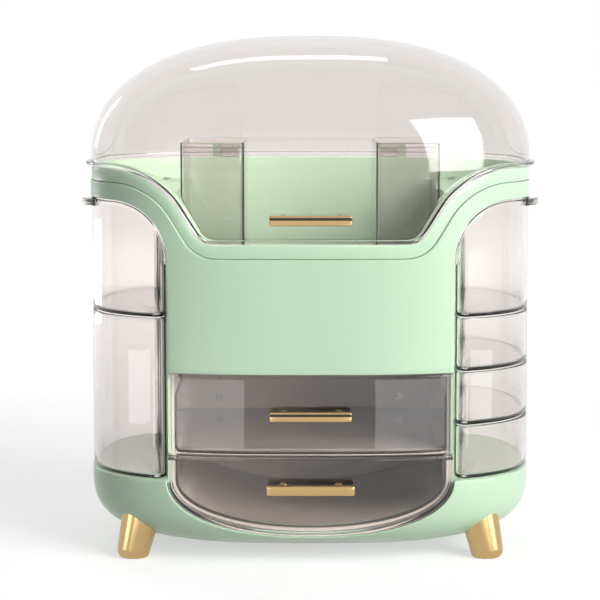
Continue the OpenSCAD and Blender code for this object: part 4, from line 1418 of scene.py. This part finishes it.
class ORGANIZER_OT_lower_drawer(bpy.types.Operator):
    """Clear smile-shaped front of the lower drawer"""
    bl_idname = "organizer.lower_drawer"
    bl_label = "Lower drawer front"

    def execute(self, context):
        build_lower_front()
        return {"FINISHED"}


class ORGANIZER_OT_trays(bpy.types.Operator):
    """Clear trays of both pods"""
    bl_idname = "organizer.trays"
    bl_label = "Swing trays"

    def execute(self, context):
        build_trays()
        return {"FINISHED"}


class ORGANIZER_OT_bins(bpy.types.Operator):
    """Clear bins in the tub"""
    bl_idname = "organizer.bins"
    bl_label = "Bins"

    def execute(self, context):
        build_bins()
        return {"FINISHED"}


class ORGANIZER_OT_pulls(bpy.types.Operator):
    """Gold pulls of the lid and the drawers"""
    bl_idname = "organizer.pulls"
    bl_label = "Pulls"

    def execute(self, context):
        build_pulls()
        return {"FINISHED"}


class ORGANIZER_OT_feet(bpy.types.Operator):
    """Four gold feet"""
    bl_idname = "organizer.feet"
    bl_label = "Feet"

    def execute(self, context):
        build_feet()
        return {"FINISHED"}


class ORGANIZER_PT_panel(bpy.types.Panel):
    """Lists the steps that build the organizer"""
    bl_label = "Organizer"
    bl_idname = "ORGANIZER_PT_panel"
    bl_space_type = "VIEW_3D"
    bl_region_type = "UI"
    bl_category = "Organizer"

    def draw(self, context):
        for step in STEPS:
            self.layout.operator(step.bl_idname)


GROUPS = {
    "organizer_shape": OrganizerShape,
    "organizer_finish": OrganizerFinish,
    "organizer_studio": OrganizerStudio,
}
STEPS = (
    ORGANIZER_OT_studio,
    ORGANIZER_OT_fittings,
    ORGANIZER_OT_base_bowl,
    ORGANIZER_OT_body_shell,
    ORGANIZER_OT_tub,
    ORGANIZER_OT_lid,
    ORGANIZER_OT_upper_drawer,
    ORGANIZER_OT_drawer_boxes,
    ORGANIZER_OT_lower_drawer,
    ORGANIZER_OT_trays,
    ORGANIZER_OT_bins,
    ORGANIZER_OT_pulls,
    ORGANIZER_OT_feet,
)


def register():
    for name, group in GROUPS.items():
        bpy.utils.register_class(group)
        setattr(bpy.types.Scene, name, PointerProperty(type=group))
    for item in (*STEPS, ORGANIZER_PT_panel):
        bpy.utils.register_class(item)


def unregister():
    for item in (ORGANIZER_PT_panel, *reversed(STEPS)):
        bpy.utils.unregister_class(item)
    for name, group in GROUPS.items():
        delattr(bpy.types.Scene, name)
        bpy.utils.unregister_class(group)


def main():
    register()
    for step in STEPS:
        group, action = step.bl_idname.split(".")
        getattr(getattr(bpy.ops, group), action)()


if __name__ == "__main__":
    main()
